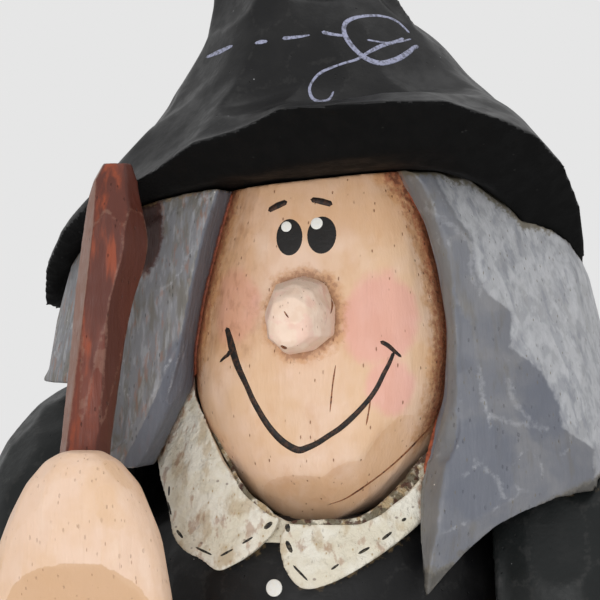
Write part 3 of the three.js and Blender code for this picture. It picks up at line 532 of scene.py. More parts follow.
def brush_spot(shape, ground, x, z, half_wide, half_high, turn=0.0, body=1.0):
    """Adds one round or oval touch of paint."""
    made = bmesh.ops.create_uvsphere(shape, u_segments=28, v_segments=16, radius=1)["verts"]
    thick = sizes().paint_body / MM * body
    c, s = math.cos(turn), math.sin(turn)
    for v in made:
        a, b = v.co.x * half_wide, v.co.z * half_high
        spot, face = lie_on(ground, x + a * c - b * s, z + a * s + b * c)
        v.co = Vector((spot - face * thick * v.co.y) * MM)


def joint_course(face, other, starts, step):
    """Where another piece begins before the face, from the front, on the way from each start by step."""
    course = []
    for x, z in starts:
        edge = None
        for _ in range(SEARCH):
            eye = Vector((x, BRUSH_DEPTH - SIGHT, z))
            skin, cover = (tree.ray_cast(eye, Vector((0, 1, 0)))[0] for tree in (face, other))
            if cover is not None and edge is not None and (skin is None or cover.y < skin.y):
                spot = other.find_nearest(edge)[0]
                close = (spot - edge).length < JOINT
                course.append((np.array(spot) + np.array(edge)) / 2 if close else np.array(cover))
                break
            edge = edge if skin is None else skin
            x, z = x + step[0], z + step[1]
    return np.array(course)


def run_bead(shape, course, girths, lift=0.0):
    """Adds one bead of glaze along the joint between two pieces, raised by lift of its girth."""
    rows = len(course) - 1
    girths = along(girths, rows)
    for _ in range(6):
        course[1:-1] = (course[:-2] + 2 * course[1:-1] + course[2:]) / 4
    way = unit(np.gradient(course, axis=0))
    side = unit(np.cross(way, (0, -1, 0)))
    side *= np.sign(side[:, 2:] + 1e-9)
    out = unit(np.cross(side, way))
    out *= -np.sign(out[:, 1:2] + 1e-9)
    for v, row, across, up, _ in strand(shape, rows):
        girth = girths[row] * min(1, 0.3 + 0.3 * min(row, rows - row))
        off = side[row] * (across + lift) + out[row] * (0.6 * up + 0.3 * lift)
        v.co = Vector((course[row] + off * girth) * MM)


def hang_paint(shape, name, slot, coat):
    """Makes the gathered brush work one piece."""
    mesh = bpy.data.meshes.new(name)
    bmesh.ops.recalc_face_normals(shape, faces=shape.faces)
    shape.to_mesh(mesh)
    shape.free()
    set_down(mesh, name, slot, coat)


def place(tree, kind, sockets=None, **settings):
    """Adds one node, sets it and wires or fills its sockets."""
    made = tree.nodes.new(kind)
    for key, value in settings.items():
        setattr(made, key, value)
    for key, value in (sockets or {}).items():
        if isinstance(value, bpy.types.NodeSocket):
            tree.links.new(value, made.inputs[key])
        else:
            made.inputs[key].default_value = value
    return made


def sums(tree, operation, *values):
    """Arithmetic on masks."""
    return place(tree, "ShaderNodeMath", dict(enumerate(values)), operation=operation).outputs[0]


def moved(tree, operation, spot, by):
    """A place on the wood, moved or scaled."""
    key = "Scale" if operation == "SCALE" else 1
    return place(tree, "ShaderNodeVectorMath", {0: spot, key: by}, operation=operation).outputs[0]


def between(tree, value, low, high, to_low=0.0, to_high=1.0):
    """A smooth way from one value at low to another at high."""
    sockets = {"Value": value, "From Min": low, "From Max": high, "To Min": to_low, "To Max": to_high}
    return place(tree, "ShaderNodeMapRange", sockets, interpolation_type="SMOOTHSTEP").outputs[0]


def effect(name, **inputs):
    """A new node group that puts out one mask, with what its inputs give and the socket of the mask."""
    made = bpy.data.node_groups.new(name, "ShaderNodeTree")
    for label, value in inputs.items():
        kind = "NodeSocketVector" if isinstance(value, tuple) else "NodeSocketFloat"
        made.interface.new_socket(name=label, in_out="INPUT", socket_type=kind).default_value = value
    made.interface.new_socket(name="Mask", in_out="OUTPUT", socket_type="NodeSocketFloat")
    given = made.nodes.new("NodeGroupInput").outputs
    mask = made.nodes.new("NodeGroupOutput").inputs["Mask"]
    spot = place(made, "ShaderNodeTexCoord").outputs["Object"]
    return made, given, mask, spot


def noise(group, spot, detail, roughness):
    """Soft noise from 0 to 1, of one swell to each unit."""
    sockets = {"Vector": spot, "Scale": 1.0, "Detail": detail, "Roughness": roughness}
    return place(group, "ShaderNodeTexNoise", sockets).outputs["Fac"]


def patches_effect():
    """Soft patches of any size, drawn out by Stretch: paint clouds, brush drags and wood grain."""
    group, given, mask, spot = effect(
        "Patches", Size=5.0, Stretch=(1.0, 1.0, 1.0), Turn=0.0, Low=0.4, High=0.6, Fine=3.0, Seed=0.0
    )
    turn = {"Vector": spot, "Angle": given["Turn"]}
    spot = place(group, "ShaderNodeVectorRotate", turn, rotation_type="Y_AXIS").outputs[0]
    spot = moved(group, "MULTIPLY", spot, given["Stretch"])
    spot = moved(group, "SCALE", spot, sums(group, "DIVIDE", 1 / MM, given["Size"]))
    cloud = noise(group, moved(group, "ADD", spot, given["Seed"]), given["Fine"], 0.55)
    group.links.new(between(group, cloud, given["Low"], given["High"]), mask)


def pores_effect():
    """Short dark pores that lie along the grain, which runs up the figure."""
    group, given, mask, spot = effect("Pores", Width=0.8, Length=2.4, Share=0.6, Reach=0.16, Seed=0.0)
    wide, high = (sums(group, "DIVIDE", 1 / MM, given[way]) for way in ("Width", "Length"))
    pace = place(group, "ShaderNodeCombineXYZ", {"X": wide, "Y": wide, "Z": high}).outputs[0]
    spot = moved(group, "ADD", moved(group, "MULTIPLY", spot, pace), given["Seed"])
    cells = place(group, "ShaderNodeTexVoronoi", {"Vector": spot, "Scale": 1.0, "Randomness": 1.0})
    split = place(group, "ShaderNodeSeparateColor", {"Color": cells.outputs["Color"]})
    chosen = sums(group, "LESS_THAN", split.outputs[0], given["Share"])
    inner = sums(group, "MULTIPLY", given["Reach"], 0.45)
    dark = between(group, cells.outputs["Distance"], inner, given["Reach"], 1.0, 0.0)
    group.links.new(sums(group, "MULTIPLY", dark, chosen), mask)


def ragged_effect():
    """A mark on the wood with its border broken up, as a wiped glaze or a rubbed edge has."""
    group, given, mask, spot = effect(
        "Ragged", Mark=0.0, Size=1.2, Break=0.8, Low=0.35, High=0.75, Seed=0.0
    )
    spot = moved(group, "SCALE", spot, sums(group, "DIVIDE", 1 / MM, given["Size"]))
    cloud = noise(group, moved(group, "ADD", spot, given["Seed"]), 4.0, 0.6)
    swing = sums(group, "MULTIPLY", sums(group, "SUBTRACT", cloud, 0.5), given["Break"])
    near = sums(group, "MULTIPLY", between(group, given["Mark"], 0.0, 0.2), swing)
    total = sums(group, "ADD", given["Mark"], near)
    group.links.new(between(group, total, given["Low"], given["High"]), mask)


EFFECTS = {"Patches": patches_effect, "Pores": pores_effect, "Ragged": ragged_effect}


def masked(tree, kind, **values):
    """One mask of a paint's recipe: patches, pores, or a ragged mark that the carving left."""
    if kind not in bpy.data.node_groups:
        EFFECTS[kind]()
    mark = values.pop("mark", None)
    made = place(tree, "ShaderNodeGroup", node_tree=bpy.data.node_groups[kind])
    for key, value in values.items():
        made.inputs[key.title()].default_value = value
    if mark:
        note = place(tree, "ShaderNodeAttribute", attribute_name=mark)
        tree.links.new(note.outputs["Fac"], made.inputs["Mark"])
    return made.outputs[0]


def painted(name, ground, coats, relief, rough, shine=0.5):
    """A paint: its ground, coats of (colour, strength, masks...) and relief of (millimetres, mask)."""
    if name in bpy.data.materials:
        return bpy.data.materials[name]
    colours = pots()
    coat = bpy.data.materials.new(name)
    coat.use_nodes = True
    tree = coat.node_tree
    shader = tree.nodes["Principled BSDF"]
    shader.inputs["Specular IOR Level"].default_value = shine
    last = (*getattr(colours, ground), 1)
    for colour, strength, *masks in coats:
        factor = strength
        for kind, values in masks:
            factor = sums(tree, "MULTIPLY", factor, masked(tree, kind, **values))
        mix = {0: factor, 6: last, 7: (*getattr(colours, colour), 1)}
        last = place(tree, "ShaderNodeMix", mix, data_type="RGBA").outputs[2]
    tree.links.new(last, shader.inputs["Base Color"])
    gloss = masked(tree, "Patches", size=2.5, low=0.3, high=0.7, fine=4.0, seed=11.0)
    tree.links.new(between(tree, gloss, 0.0, 1.0, *rough), shader.inputs["Roughness"])
    height = None
    for rise, kind, values in relief:
        step = sums(tree, "MULTIPLY", masked(tree, kind, **values), rise)
        height = step if height is None else sums(tree, "ADD", height, step)
    if height is not None:
        bump = place(tree, "ShaderNodeBump", {"Height": height, "Distance": MM, "Strength": 1.0})
        tree.links.new(bump.outputs[0], shader.inputs["Normal"])
    return coat


def patches(size, low=0.4, high=0.6, stretch=(1, 1, 1), fine=3.0, seed=0.0, turn=0.0):
    given = {"size": size, "low": low, "high": high, "stretch": stretch, "fine": fine}
    return "Patches", {**given, "seed": seed, "turn": turn}


def pores(width=0.8, length=2.4, share=0.6, reach=0.16, seed=0.0):
    return "Pores", {"width": width, "length": length, "share": share, "reach": reach, "seed": seed}


def ragged(mark, low=0.35, high=0.75, size=1.2, broken=0.8, seed=0.0):
    given = {"mark": mark, "low": low, "high": high, "size": size}
    return "Ragged", {**given, "break": broken, "seed": seed}


BRUSHED = (0.03, *patches(0.7, 0.2, 0.8, (1, 1, 0.25), 4.0, 3.0))
DRAGGED = (0.05, *patches(0.7, 0.2, 0.8, (1, 1, 0.25), 4.0, 3.0))
GRAINED = (0.035, *patches(1.1, 0.3, 0.7, (1, 1, 0.12), 4.0, 7.0))
RIBBED = (0.08, *patches(1.0, 0.3, 0.7, (1, 1, 0.15), 5.0, 7.0))
PITTED = (-0.12, *pores())
WOOD = [BRUSHED, GRAINED, PITTED]

FLESH_COATS = [
    ("flesh_warm", 0.4, patches(9, 0.42, 0.62, seed=2.0)),
    ("flesh_light", 0.5, patches(3.5, 0.5, 0.75, (1, 1, 0.5), seed=5.0)),
    ("flesh_warm", 0.6, ragged("flat", 0.2, 1.0)),
    ("umber", 0.35, ragged("sunk")),
    # Painted shade: warmer, darker flesh on the flats that look down, noted as shaded
    ("flesh_warm", 0.8, ragged("shaded", 0.3, 0.7)),
    ("umber", 0.16, ragged("shaded", 0.3, 0.7)),
    ("umber", 0.75, ragged("near", 0.55, 0.95)),
    ("umber", 0.6, pores(0.7, 2.6, 0.55)),
    ("umber", 0.3, pores(0.9, 8.0, 0.35, 0.12, 4.0)),
]
NOSE_COATS = [
    ("flesh", 0.5, patches(2.0, 0.45, 0.6, seed=2.0)),
    ("blush", 0.25, patches(2.6, 0.48, 0.62, seed=6.0)),
    ("umber", 0.3, ragged("sunk")),
    ("umber", 0.85, ragged("near", 0.45, 0.95, 0.8, 0.9)),
    ("umber", 0.7, pores(0.7, 2.2, 0.4)),
]
FACE_COATS = [
    ("flesh_warm", 0.7, patches(10, 0.4, 0.62, seed=2.0)),
    ("flesh_light", 0.45, patches(4.5, 0.5, 0.75, (1, 1, 0.5), seed=5.0)),
    ("flesh_warm", 0.35, ragged("flat", 0.2, 1.0)),
    ("honey", 0.22, patches(3.0, 0.5, 0.68, (1, 1, 0.5), 5.0, 12.0)),
    ("blush", 0.6, ragged("blush", 0.2, 0.75, 4.0, 0.9)),
    ("honey", 0.35, ragged("golden", 0.2, 0.9, 3.0, 1.0)),
    # Stain and painted shade down the face's left side, above the jaw
    ("honey", 0.3, ragged("face_stain_and_shade", 0.2, 0.9, 2.5, 1.2)),
    (
        "umber", 0.35, ragged("face_stain_and_shade", 0.25, 0.95, 1.6, 1.5),
        patches(1.0, 0.46, 0.64, (1, 1, 0.35), 4.0, 8.0),
    ),
    ("honey", 0.6, ragged("halo", 0.2, 0.7, 1.3, 1.3)),
    ("umber", 0.6, ragged("halo", 0.5, 0.95, 0.8, 1.8)),
    # Painted shade on the chin's flats, which look down
    ("honey", 0.2, ragged("shaded", 0.4, 0.6, 0.8, 0.3)),
    ("honey", 0.65, ragged("near", 0.15, 0.6, 1.6, 1.3)),
    ("umber", 0.55, ragged("near", 0.4, 0.85, 0.9, 1.8)),
    ("rust", 0.6, ragged("near", 0.55, 0.9, 0.7, 1.8, 4.0)),
    ("dark_stain_and_shade", 0.6, ragged("near", 0.8, 1.0, 0.7, 1.2, 9.0)),
    ("umber", 0.4, ragged("sunk")),
    ("umber", 0.8, pores(0.8, 2.4, 0.5)),
    ("dark_stain_and_shade", 0.8, pores(1.0, 1.6, 0.4, 0.2, 5.0), ragged("near", 0.15, 0.5)),
]
# Silver on the hair's upper faces: dry brush and painted highlight
LIGHT_BRUSH_AND_HIGHLIGHT = ragged("dry_brush_and_highlight", 0.3, 1.0, 2.0, 1.2)
HAIR_COATS = [
    ("slate", 0.45, patches(7, 0.42, 0.6, seed=3.0)),
    ("olive", 0.35, patches(1.3, 0.5, 0.72, (1, 1, 0.16), seed=6.0)),
    ("slate", 0.5, ragged("flat", 0.1, 1.0, 1.6, 1.0)),
    ("slate", 0.75, ragged("cool", 0.3, 0.9, 2.0, 1.0)),
    ("silver", 0.5, ragged("dry_brush_and_highlight", 0.3, 0.8, 1.6, 1.2)),
    ("silver", 0.55, LIGHT_BRUSH_AND_HIGHLIGHT, patches(1.7, 0.44, 0.58, (1, 1, 0.3), 6.0, 4.0, 0.7)),
    ("silver", 0.55, LIGHT_BRUSH_AND_HIGHLIGHT, patches(1.5, 0.46, 0.6, (1, 1, 0.28), 6.0, 7.0, -0.5)),
    ("slate", 0.35, ragged("dry_brush_and_highlight", 0.3, 1.0), patches(1.9, 0.52, 0.62, (1, 1, 0.3), 6.0, 17.0, 0.2)),
    ("silver", 0.3, ragged("ridge", 0.55, 1.0, 0.8, 1.6), patches(5, 0.48, 0.62, seed=5.0)),
    ("silver", 0.28, ragged("rubbed", 0.4, 1.1, 0.8, 1.8)),
    ("olive", 0.35, ragged("inner", 0.4, 0.8)),
    ("olive", 0.75, ragged("near", 0.4, 0.95, 1.2, 1.3)),
    ("black_worn", 0.7, ragged("near", 0.7, 1.0, 0.8, 1.2)),
    ("olive", 0.9, ragged("crust", 0.35, 0.8, 0.7, 1.4)),
    ("olive", 0.6, ragged("hem", 0.3, 0.8, 1.2, 1.2)),
    ("black_worn", 0.6, ragged("hem", 0.55, 1.0, 0.9, 1.4)),
    ("umber", 0.35, ragged("seam", 0.4, 0.95, 0.8, 1.3)),
    ("olive", 0.7, pores(0.8, 2.6, 0.6)),
    ("cream_light", 0.8, pores(4.2, 3.4, 0.3, 0.05, 3.0)),
]
ROUGH_HAIR_COATS = [
    ("olive", 0.55, patches(1.6, 0.46, 0.62, (1, 1, 0.22), 6.0, 6.0)),
    ("silver", 0.35, patches(0.9, 0.48, 0.66, (1, 1, 0.2), 6.0, 9.0)),
    ("umber", 0.4, patches(0.9, 0.54, 0.66, (1, 1, 0.2), 6.0, 2.0)),
    ("slate", 0.85, ragged("inner", 0.35, 0.75, 1.0, 0.7)),
    ("slate", 0.8, ragged("cool", 0.3, 0.8, 1.6, 0.9)),
    ("silver", 0.45, ragged("ridge", 0.5, 1.0, 0.8, 1.6), patches(5, 0.46, 0.6, seed=5.0)),
    ("olive", 0.75, ragged("near", 0.4, 0.95, 1.2, 1.3)),
    # Painted shadow with stain beside the stick, under the brim
    ("dark_stain_and_shade", 0.95, ragged("stick", 0.15, 0.6, 1.2, 1.2)),
    ("liner", 0.5, ragged("stick", 0.4, 0.9, 1.2, 1.2)),
    ("tan", 0.5, ragged("crust", 0.5, 0.95, 0.7, 1.6)),
    ("rust", 0.5, ragged("seam", 0.4, 0.95, 0.8, 1.3)),
    ("black_worn", 0.7, pores(0.8, 3.0, 0.6)),
    ("cream_light", 0.8, pores(3.2, 2.4, 0.3, 0.05, 3.0)),
]
COLLAR_COATS = [
    ("cream_light", 0.7, patches(6, 0.42, 0.58, seed=8.0)),
    ("tan", 0.5, patches(3.4, 0.52, 0.64, (1, 1, 0.6), 6.0, 1.0)),
    ("umber", 0.5, patches(2.0, 0.57, 0.66, (1, 1, 0.45), 6.0, 14.0)),
    ("cream_light", 0.8, ragged("worn", 0.3, 0.8)),
    ("tan", 0.5, ragged("sunk")),
    ("umber", 0.85, ragged("near", 0.6, 0.95)),
    ("tan", 0.8, pores(0.9, 1.6, 0.5, 0.2)),
    ("dark_stain_and_shade", 0.6, pores(1.6, 1.2, 0.4, 0.22, 6.0), patches(5.0, 0.48, 0.56, seed=9.0)),
]
CRUST_COATS = [
    ("tan", 0.8, patches(1.6, 0.46, 0.56, fine=5.0, seed=4.0)),
    ("olive", 0.9, patches(3.0, 0.46, 0.54, fine=6.0, seed=12.0)),
    ("dark_stain_and_shade", 0.85, patches(1.7, 0.52, 0.6, fine=6.0, seed=7.0)),
]
BLACK_COATS = [
    ("black_worn", 0.2, patches(7, 0.5, 0.75, fine=4.0, seed=5.0)),
    ("black_worn", 0.3, ragged("ridge", 0.6, 1.0, 0.7, 1.6)),
    ("black_worn", 0.7, ragged("worn", 0.5, 1.0, 0.9, 1.4)),
    ("wear_tan", 0.6, ragged("near", 0.7, 1.0, 0.9, 1.1)),
    ("silver", 0.6, pores(3.2, 3.0, 0.35, 0.05)),
]
STICK_COATS = [
    ("dark_stain_and_shade", 0.6, patches(4.0, 0.42, 0.62, (1, 1, 0.25), 4.0, 2.0)),
    ("stain_orange", 0.8, ragged("front", 0.3, 0.9), patches(2.2, 0.44, 0.6, (1, 1, 0.14), 5.0, 5.0)),
    # Painted shade on the side turned from the light, painted sheen on the lit side
    ("dark_stain_and_shade", 0.75, ragged("turned", 0.3, 0.8)),
    ("dusty_stain_and_sheen", 0.8, ragged("lit", 0.3, 0.7, 1.4, 0.5)),
    ("dusty_stain_and_sheen", 0.45, ragged("ridge", 0.55, 1.0, 0.6, 1.2)),
    ("dark_stain_and_shade", 0.8, ragged("near", 0.4, 0.9)),
    ("dark_stain_and_shade", 0.7, pores()),
]
STRAW_COATS = [
    ("straw_dark", 0.5, patches(1.0, 0.45, 0.7, (1, 1, 0.1), 4.0)),
    ("straw_dark", 0.9, ragged("sunk", 0.2, 0.8)),
    ("straw_dark", 0.7, ragged("near", 0.4, 0.9)),
]
BLACK = (
    BLACK_COATS,
    [(0.02, *patches(0.9, 0.2, 0.8, fine=4.0, seed=3.0)), (-0.1, *pores(1.8, 1.8, 0.5, 0.12, 2.0))],
    (0.4, 0.52),
    0.25,
)


def lined(colour, second, strength):
    """The recipe of a paint for thin strokes, clouded by a second one."""
    cloud = (second, strength, patches(0.55, 0.45, 0.62, fine=4.0, seed=2.0))
    return colour, [cloud], [(0.02, *patches(0.4, 0.3, 0.7))], (0.45, 0.6), 0.3


# Each paint's ground, coats, relief, least and greatest roughness, and shine
PAINTS = {
    "Flesh paint": ("flesh", FLESH_COATS, WOOD, (0.42, 0.6)),
    "Nose paint": ("flesh_light", NOSE_COATS, WOOD, (0.42, 0.6)),
    "Face paint": ("flesh", FACE_COATS, WOOD, (0.42, 0.6)),
    "Hair paint": ("grey", HAIR_COATS, WOOD, (0.45, 0.62)),
    "Rough hair paint": ("grey", ROUGH_HAIR_COATS, [DRAGGED, RIBBED, PITTED], (0.5, 0.68)),
    "Collar paint": (
        "cream", COLLAR_COATS, [BRUSHED, (0.3, *patches(2.4, 0.3, 0.7, fine=6.0, seed=3.0)), PITTED],
        (0.6, 0.75), 0.35,
    ),
    "Collar crust": (
        "cream", CRUST_COATS, [(0.3, *patches(0.9, 0.3, 0.7, fine=5.0, seed=3.0))], (0.65, 0.8), 0.3
    ),
    "Hat paint": ("black", *BLACK),
    "Dress paint": ("black", *BLACK),
    "Boot paint": ("black", *BLACK),
    "Sleeve paint": ("black_green", *BLACK),
    # Painted shade: the brim's underside gets a darker, flatter black than the hat
    "Under the brim": (
        "black_under", [("black_worn", 0.5, pores(2.2, 1.2, 0.3, 0.12))], [BRUSHED, GRAINED],
        (0.7, 0.85), 0.12,
    ),
    "Stick stain": ("stain", STICK_COATS, WOOD, (0.4, 0.54), 0.35),
    "Straw stain": ("straw", STRAW_COATS, [BRUSHED, GRAINED], (0.6, 0.75)),
    "Twine fibre": (
        "twine",
        [("straw_dark", 0.7, patches(0.5, 0.4, 0.65)), ("straw_dark", 0.9, ragged("sunk", 0.2, 0.8))],
        [(0.05, *patches(0.3, 0.3, 0.7))], (0.75, 0.9), 0.2,
    ),
    "Pressed felt": (
        "felt", [("black_worn", 0.4, patches(0.5, 0.45, 0.7, fine=5.0))],
        [(0.12, *patches(0.4, 0.2, 0.8, fine=5.0))], (0.9, 1.0), 0.1,
    ),
    "Bare wood": (
        "pale", [("umber", 0.35, patches(1.0, 0.4, 0.7, (1, 1, 0.1), 4.0))], [GRAINED], (0.55, 0.7)
    ),
    "Lavender paint": lined("lavender", "black_worn", 0.65),
    "Eye paint": lined("liner", "black", 0.5),
    "White paint": lined("white", "cream_light", 0.5),
    "Liner paint": lined("liner", "umber", 0.15),
    "Crack glaze": lined("umber", "dark_stain_and_shade", 0.9),
    "Joint glaze": lined("rust", "dark_stain_and_shade", 0.5),
    "Stitch paint": lined("liner", "olive", 0.6),
    "Button paint": lined("white", "cream_light", 0.6),
}


def paint(name):
    """The paint of that name, mixed at its first use."""
    return painted(name, *PAINTS[name])


class WITCH_OT_hat(bpy.types.Operator):
    """Carves the drooping hat and paints the line and the curl on it"""

    bl_idname = "witch.hat"
    bl_label = "Hat"

    def execute(self, context):
        s = sizes()
        hat = Blank("hat", s.hat_skin, sharp=70)
        rim = hat.hold
        hat.hold = rim * eased(hat.points[:, 0], *DROOP)
        hat.even_out(20)
        hat.soften(12)
        drooped = 1 - eased(hat.points[:, 0], *DROOP)
        hat.points += hat.facing(1) * (hat.near_arris(5.0) * drooped * DROOP_FILL)[:, None]
        hat.soften(6)
        hat.hold = np.maximum(rim, hat.near_arris(6.0) * drooped)
        under = (hat.facing(4)[:, 2] < -0.2) & (hat.points[:, 2] < UNDER_TOP)
        hat.whittle(s.hat_flat, depth=0.4, scoop=0.02, tilt=0.015, seed=11, where=~under, gap=1.0)
        hat.whittle(s.hair_flat, depth=0.3, scoop=0.05, tilt=0.05, seed=12, where=under)
        hat.even_out(4)
        hat.hold = rim * (1 - drooped)
        hat.finish(6, 2.0, "head", "hair_right", "hair_left", "hair_back")
        piece = hat.mount("hat_carved", "hat_paint", paint("Hat paint"), paint("Under the brim"))
        self.black_below(hat, piece.data)
        scroll = bmesh.new()
        ground = hat.tree()
        for spots, widths in HAT_LINES:
            brush_line(scroll, ground, spots, widths, body=0.6, slant=SLANT)
        hang_paint(scroll, "hat_scroll", "hat_paint", paint("Lavender paint"))
        return {"FINISHED"}

    @staticmethod
    def black_below(hat, mesh):
        """Gives the underside of the brim its own paint, a darker, flatter black that is painted shade;
        it reaches higher in front.
        """
        y, z = hat.points[:, 1], hat.points[:, 2]
        top = np.where(y < 0, *UNDER_PAINT_TOP)
        below = eased(-hat.facing(3)[:, 2], 0.1, 0.2) * (z < top)
        mesh.calc_loop_triangles()
        leaf = rows_of(mesh.loop_triangles, "polygon_index", 1)[:, 0]
        shade = np.zeros(len(mesh.polygons), np.int32)
        shade[leaf[below[hat.tris].mean(1) > 0.5]] = 1
        mesh.polygons.foreach_set("material_index", shade)


DROOP = (-30, -24)  # where the brim's left end begins to droop, across the figure
DROOP_FILL = 0.9  # how much wood that thin end gains
# The underside's darker black is painted shade where the brim looks down
UNDER_TOP = 235  # height below which what looks down is the brim's underside
UNDER_PAINT_TOP = (240, 228)  # how high its black reaches in front and behind
# Each stroke on the hat: its course, and its widths from start to end
HAT_LINES = [
    ([(-14.8, 237.9), (-12.5, 238.4), (-10.2, 239.1)], [0.4, 0.8, 0.5]),
    ([(-6.8, 239.1), (-5.7, 239.3), (-4.7, 239.4)], [0.3, 0.7, 0.4]),
    ([(-2.5, 239.8), (-0.2, 240.0), (1.9, 240.3)], [0.6, 0.5, 0.25]),
    ([(3.6, 240.8), (5.3, 240.4), (7.2, 240.2)], [0.6, 0.5, 0.4]),
    (
        [
            (19.0, 239.1), (18.2, 238.9), (17.1, 237.9), (15.3, 236.7), (12.8, 235.9), (10.7, 236.5),
            (8.9, 237.9), (7.5, 239.8), (7.1, 241.4), (7.7, 242.6), (9.8, 243.4), (12.8, 243.7),
            (15.4, 243.1), (17.6, 241.2),
        ],
        [0.6, 0.95, 0.9, 0.8, 0.7, 0.8, 0.75, 0.5, 0.4, 0.35, 0.3],
    ),
    (
        [(10.6, 239.6), (12.2, 239.4), (14.0, 239.3), (16.1, 239.7), (17.8, 240.3)],
        [0.3, 0.25, 0.3, 0.3, 0.3],
    ),
    (
        [
            (16.6, 240.3), (15.2, 239.6), (12.9, 238.7), (10.6, 237.4), (9.0, 236.4), (6.5, 235.6),
            (4.0, 234.6), (2.7, 233.6), (1.8, 232.0), (2.1, 230.4), (3.2, 229.7), (4.7, 230.0),
            (5.5, 231.4),
        ],
        [0.5, 0.6, 0.7, 0.5, 0.4, 0.35, 0.5, 0.4, 0.55, 0.5, 0.3],
    ),
]


class WITCH_OT_head(bpy.types.Operator):
    """Carves the head and paints the face on it"""

    bl_idname = "witch.head"
    bl_label = "Head and face"

    def execute(self, context):
        s = sizes()
        head = Blank("head", s.skin, rub=50)
        head.keep_seam(1.5, "hair_left", "hair_right")
        chin = np.zeros(len(head.points), bool)
        for spot, face in FACE_FLATS:
            chin |= head.pare(spot, face, depth=0.12, within=7)
        head.whittle(s.face_flat, depth=0.14, scoop=0.03, tilt=0.03, seed=21, gap=1.0)
        head.finish(4, 4.0, "hair_left", "hair_right")
        head.near_pieces("halo", 2.8, "nose")
        x, z = head.points[:, 0], head.points[:, 2]
        # The chin's flats look down, and paint darkens them as painted shade
        head.marks["shaded"] = head.spread(chin * 1.0, 2)
        head.marks["blush"] = np.maximum.reduce([oval_mark(x, z, *cheek) for cheek in CHEEKS])
        # The left side of the face is darkened by stain and by painted shade
        head.marks["face_stain_and_shade"] = 0.7 * eased(-x, -1.0, 10.0) * eased(z, 184, 192)
        forehead = eased(z, 204, 214)
        head.marks["golden"] = np.maximum(forehead, eased(-x, 0.0, 9.0) * eased(z, 186, 196))
        head.mount("head_carved", "face_paint", paint("Face paint"))
        CARVED["head"] = head.tree()
        self.paint_face(CARVED["head"])
        return {"FINISHED"}

    @staticmethod
    def paint_face(ground):
        eyes, lights, lines, cracks = (bmesh.new() for _ in range(4))
        for spot in EYES:
            brush_spot(eyes, ground, *spot)
        for spot in EYE_LIGHTS:
            brush_spot(lights, ground, *spot, body=1.9)
        for spots, widths in FACE_LINES:
            brush_line(lines, ground, spots, widths)
        for spots in FACE_CRACKS:
            brush_line(cracks, ground, spots, [0.12, 0.26, 0.2, 0.26, 0.1], body=0.4)
        hang_paint(eyes, "eyes", "face_paint", paint("Eye paint"))
        hang_paint(lights, "eye_lights", "face_paint", paint("White paint"))
        hang_paint(lines, "face_lines", "face_paint", paint("Liner paint"))
        hang_paint(cracks, "face_cracks", "face_paint", paint("Crack glaze"))


# Each flat of the chin: a spot on it and the way it faces
FACE_FLATS = [
    ((1.5, -25.2, 171.9), (-0.05, -0.80, -0.60)),
    ((9.1, -26.4, 175.4), (0.27, -0.83, -0.49)),
    ((16.4, -24.5, 181.4), (0.60, -0.71, -0.37)),
]
FACE_CRACKS = [
    [(7.1, 190.4), (6.7, 187.6), (6.5, 185.4), (6.3, 183.3)],
    [(12.3, 185.3), (12.0, 183.4), (11.6, 181.4)],
    [(20.3, 181.1), (16.7, 177.1), (13.0, 173.8), (8.3, 170.5), (5.3, 169.3)],
]
# Middle across, middle up, half width, half height and strength, as in all ovals below
CHEEKS = [(13.4, 197.0, 6.6, 8.6, 1.0), (15.0, 187.5, 4.2, 6.0, 0.8), (-8.6, 199.0, 5.0, 7.5, 0.75)]
# Middle across, middle up, half width, half height and turn
EYES = [(-0.35, 209.4, 2.0, 2.75, 0.04), (4.55, 209.7, 2.2, 2.8, 0.0)]
EYE_LIGHTS = [(-0.85, 210.95, 0.85, 0.85), (3.75, 211.4, 0.95, 0.95)]
FACE_LINES = [
    ([(-3.9, 213.4), (-2.4, 214.2), (-0.9, 214.8)], [0.75, 1.0, 0.8]),
    ([(2.6, 215.1), (4.2, 214.8), (6.0, 214.3)], [0.75, 0.95, 0.85]),
    (
        [
            (-10.0, 195.9), (-9.4, 194.3), (-8.8, 192.4), (-7.9, 190.0), (-6.5, 187.3), (-5.3, 184.8),
            (-3.6, 181.9), (-2.1, 180.0), (-0.5, 178.6), (1.4, 177.7), (2.9, 178.1), (4.4, 178.8),
            (6.1, 179.9), (7.9, 181.1), (10.0, 183.0), (11.9, 185.1), (13.2, 187.0), (14.2, 189.1),
            (15.0, 190.7), (15.6, 192.3),
        ],
        [0.8, 1.25, 1.1, 0.85, 0.9, 0.95, 1.05, 1.1, 0.85, 0.8, 0.85, 0.75, 0.7, 0.65, 0.5],
    ),
    ([(-9.2, 192.5), (-9.6, 191.8), (-10.3, 191.3), (-11.1, 190.6)], [0.7, 0.6, 0.45, 0.3]),
    ([(13.6, 193.9), (14.7, 193.3), (15.7, 192.4), (16.7, 191.5)], [0.6, 0.65, 0.55, 0.35]),
]


class WITCH_OT_nose(bpy.types.Operator):
    """Carves the potato nose"""

    bl_idname = "witch.nose"
    bl_label = "Nose"

    def execute(self, context):
        nose = Blank("nose", NOSE_SKIN * MM, rub=14)
        nose.whittle(sizes().nose_flat, depth=0.35, scoop=0.02, tilt=0.08, seed=31, gap=1.2)
        nose.finish(1, 1.2, "head")
        nose.mount("nose_carved", "skin_paint", paint("Nose paint"))
        crack = bmesh.new()
        for spots, widths in NOSE_CRACKS:
            brush_line(crack, nose.tree(), spots, widths, body=0.4, slant=SLANT)
        hang_paint(crack, "nose_crack", "skin_paint", paint("Crack glaze"))
        return {"FINISHED"}


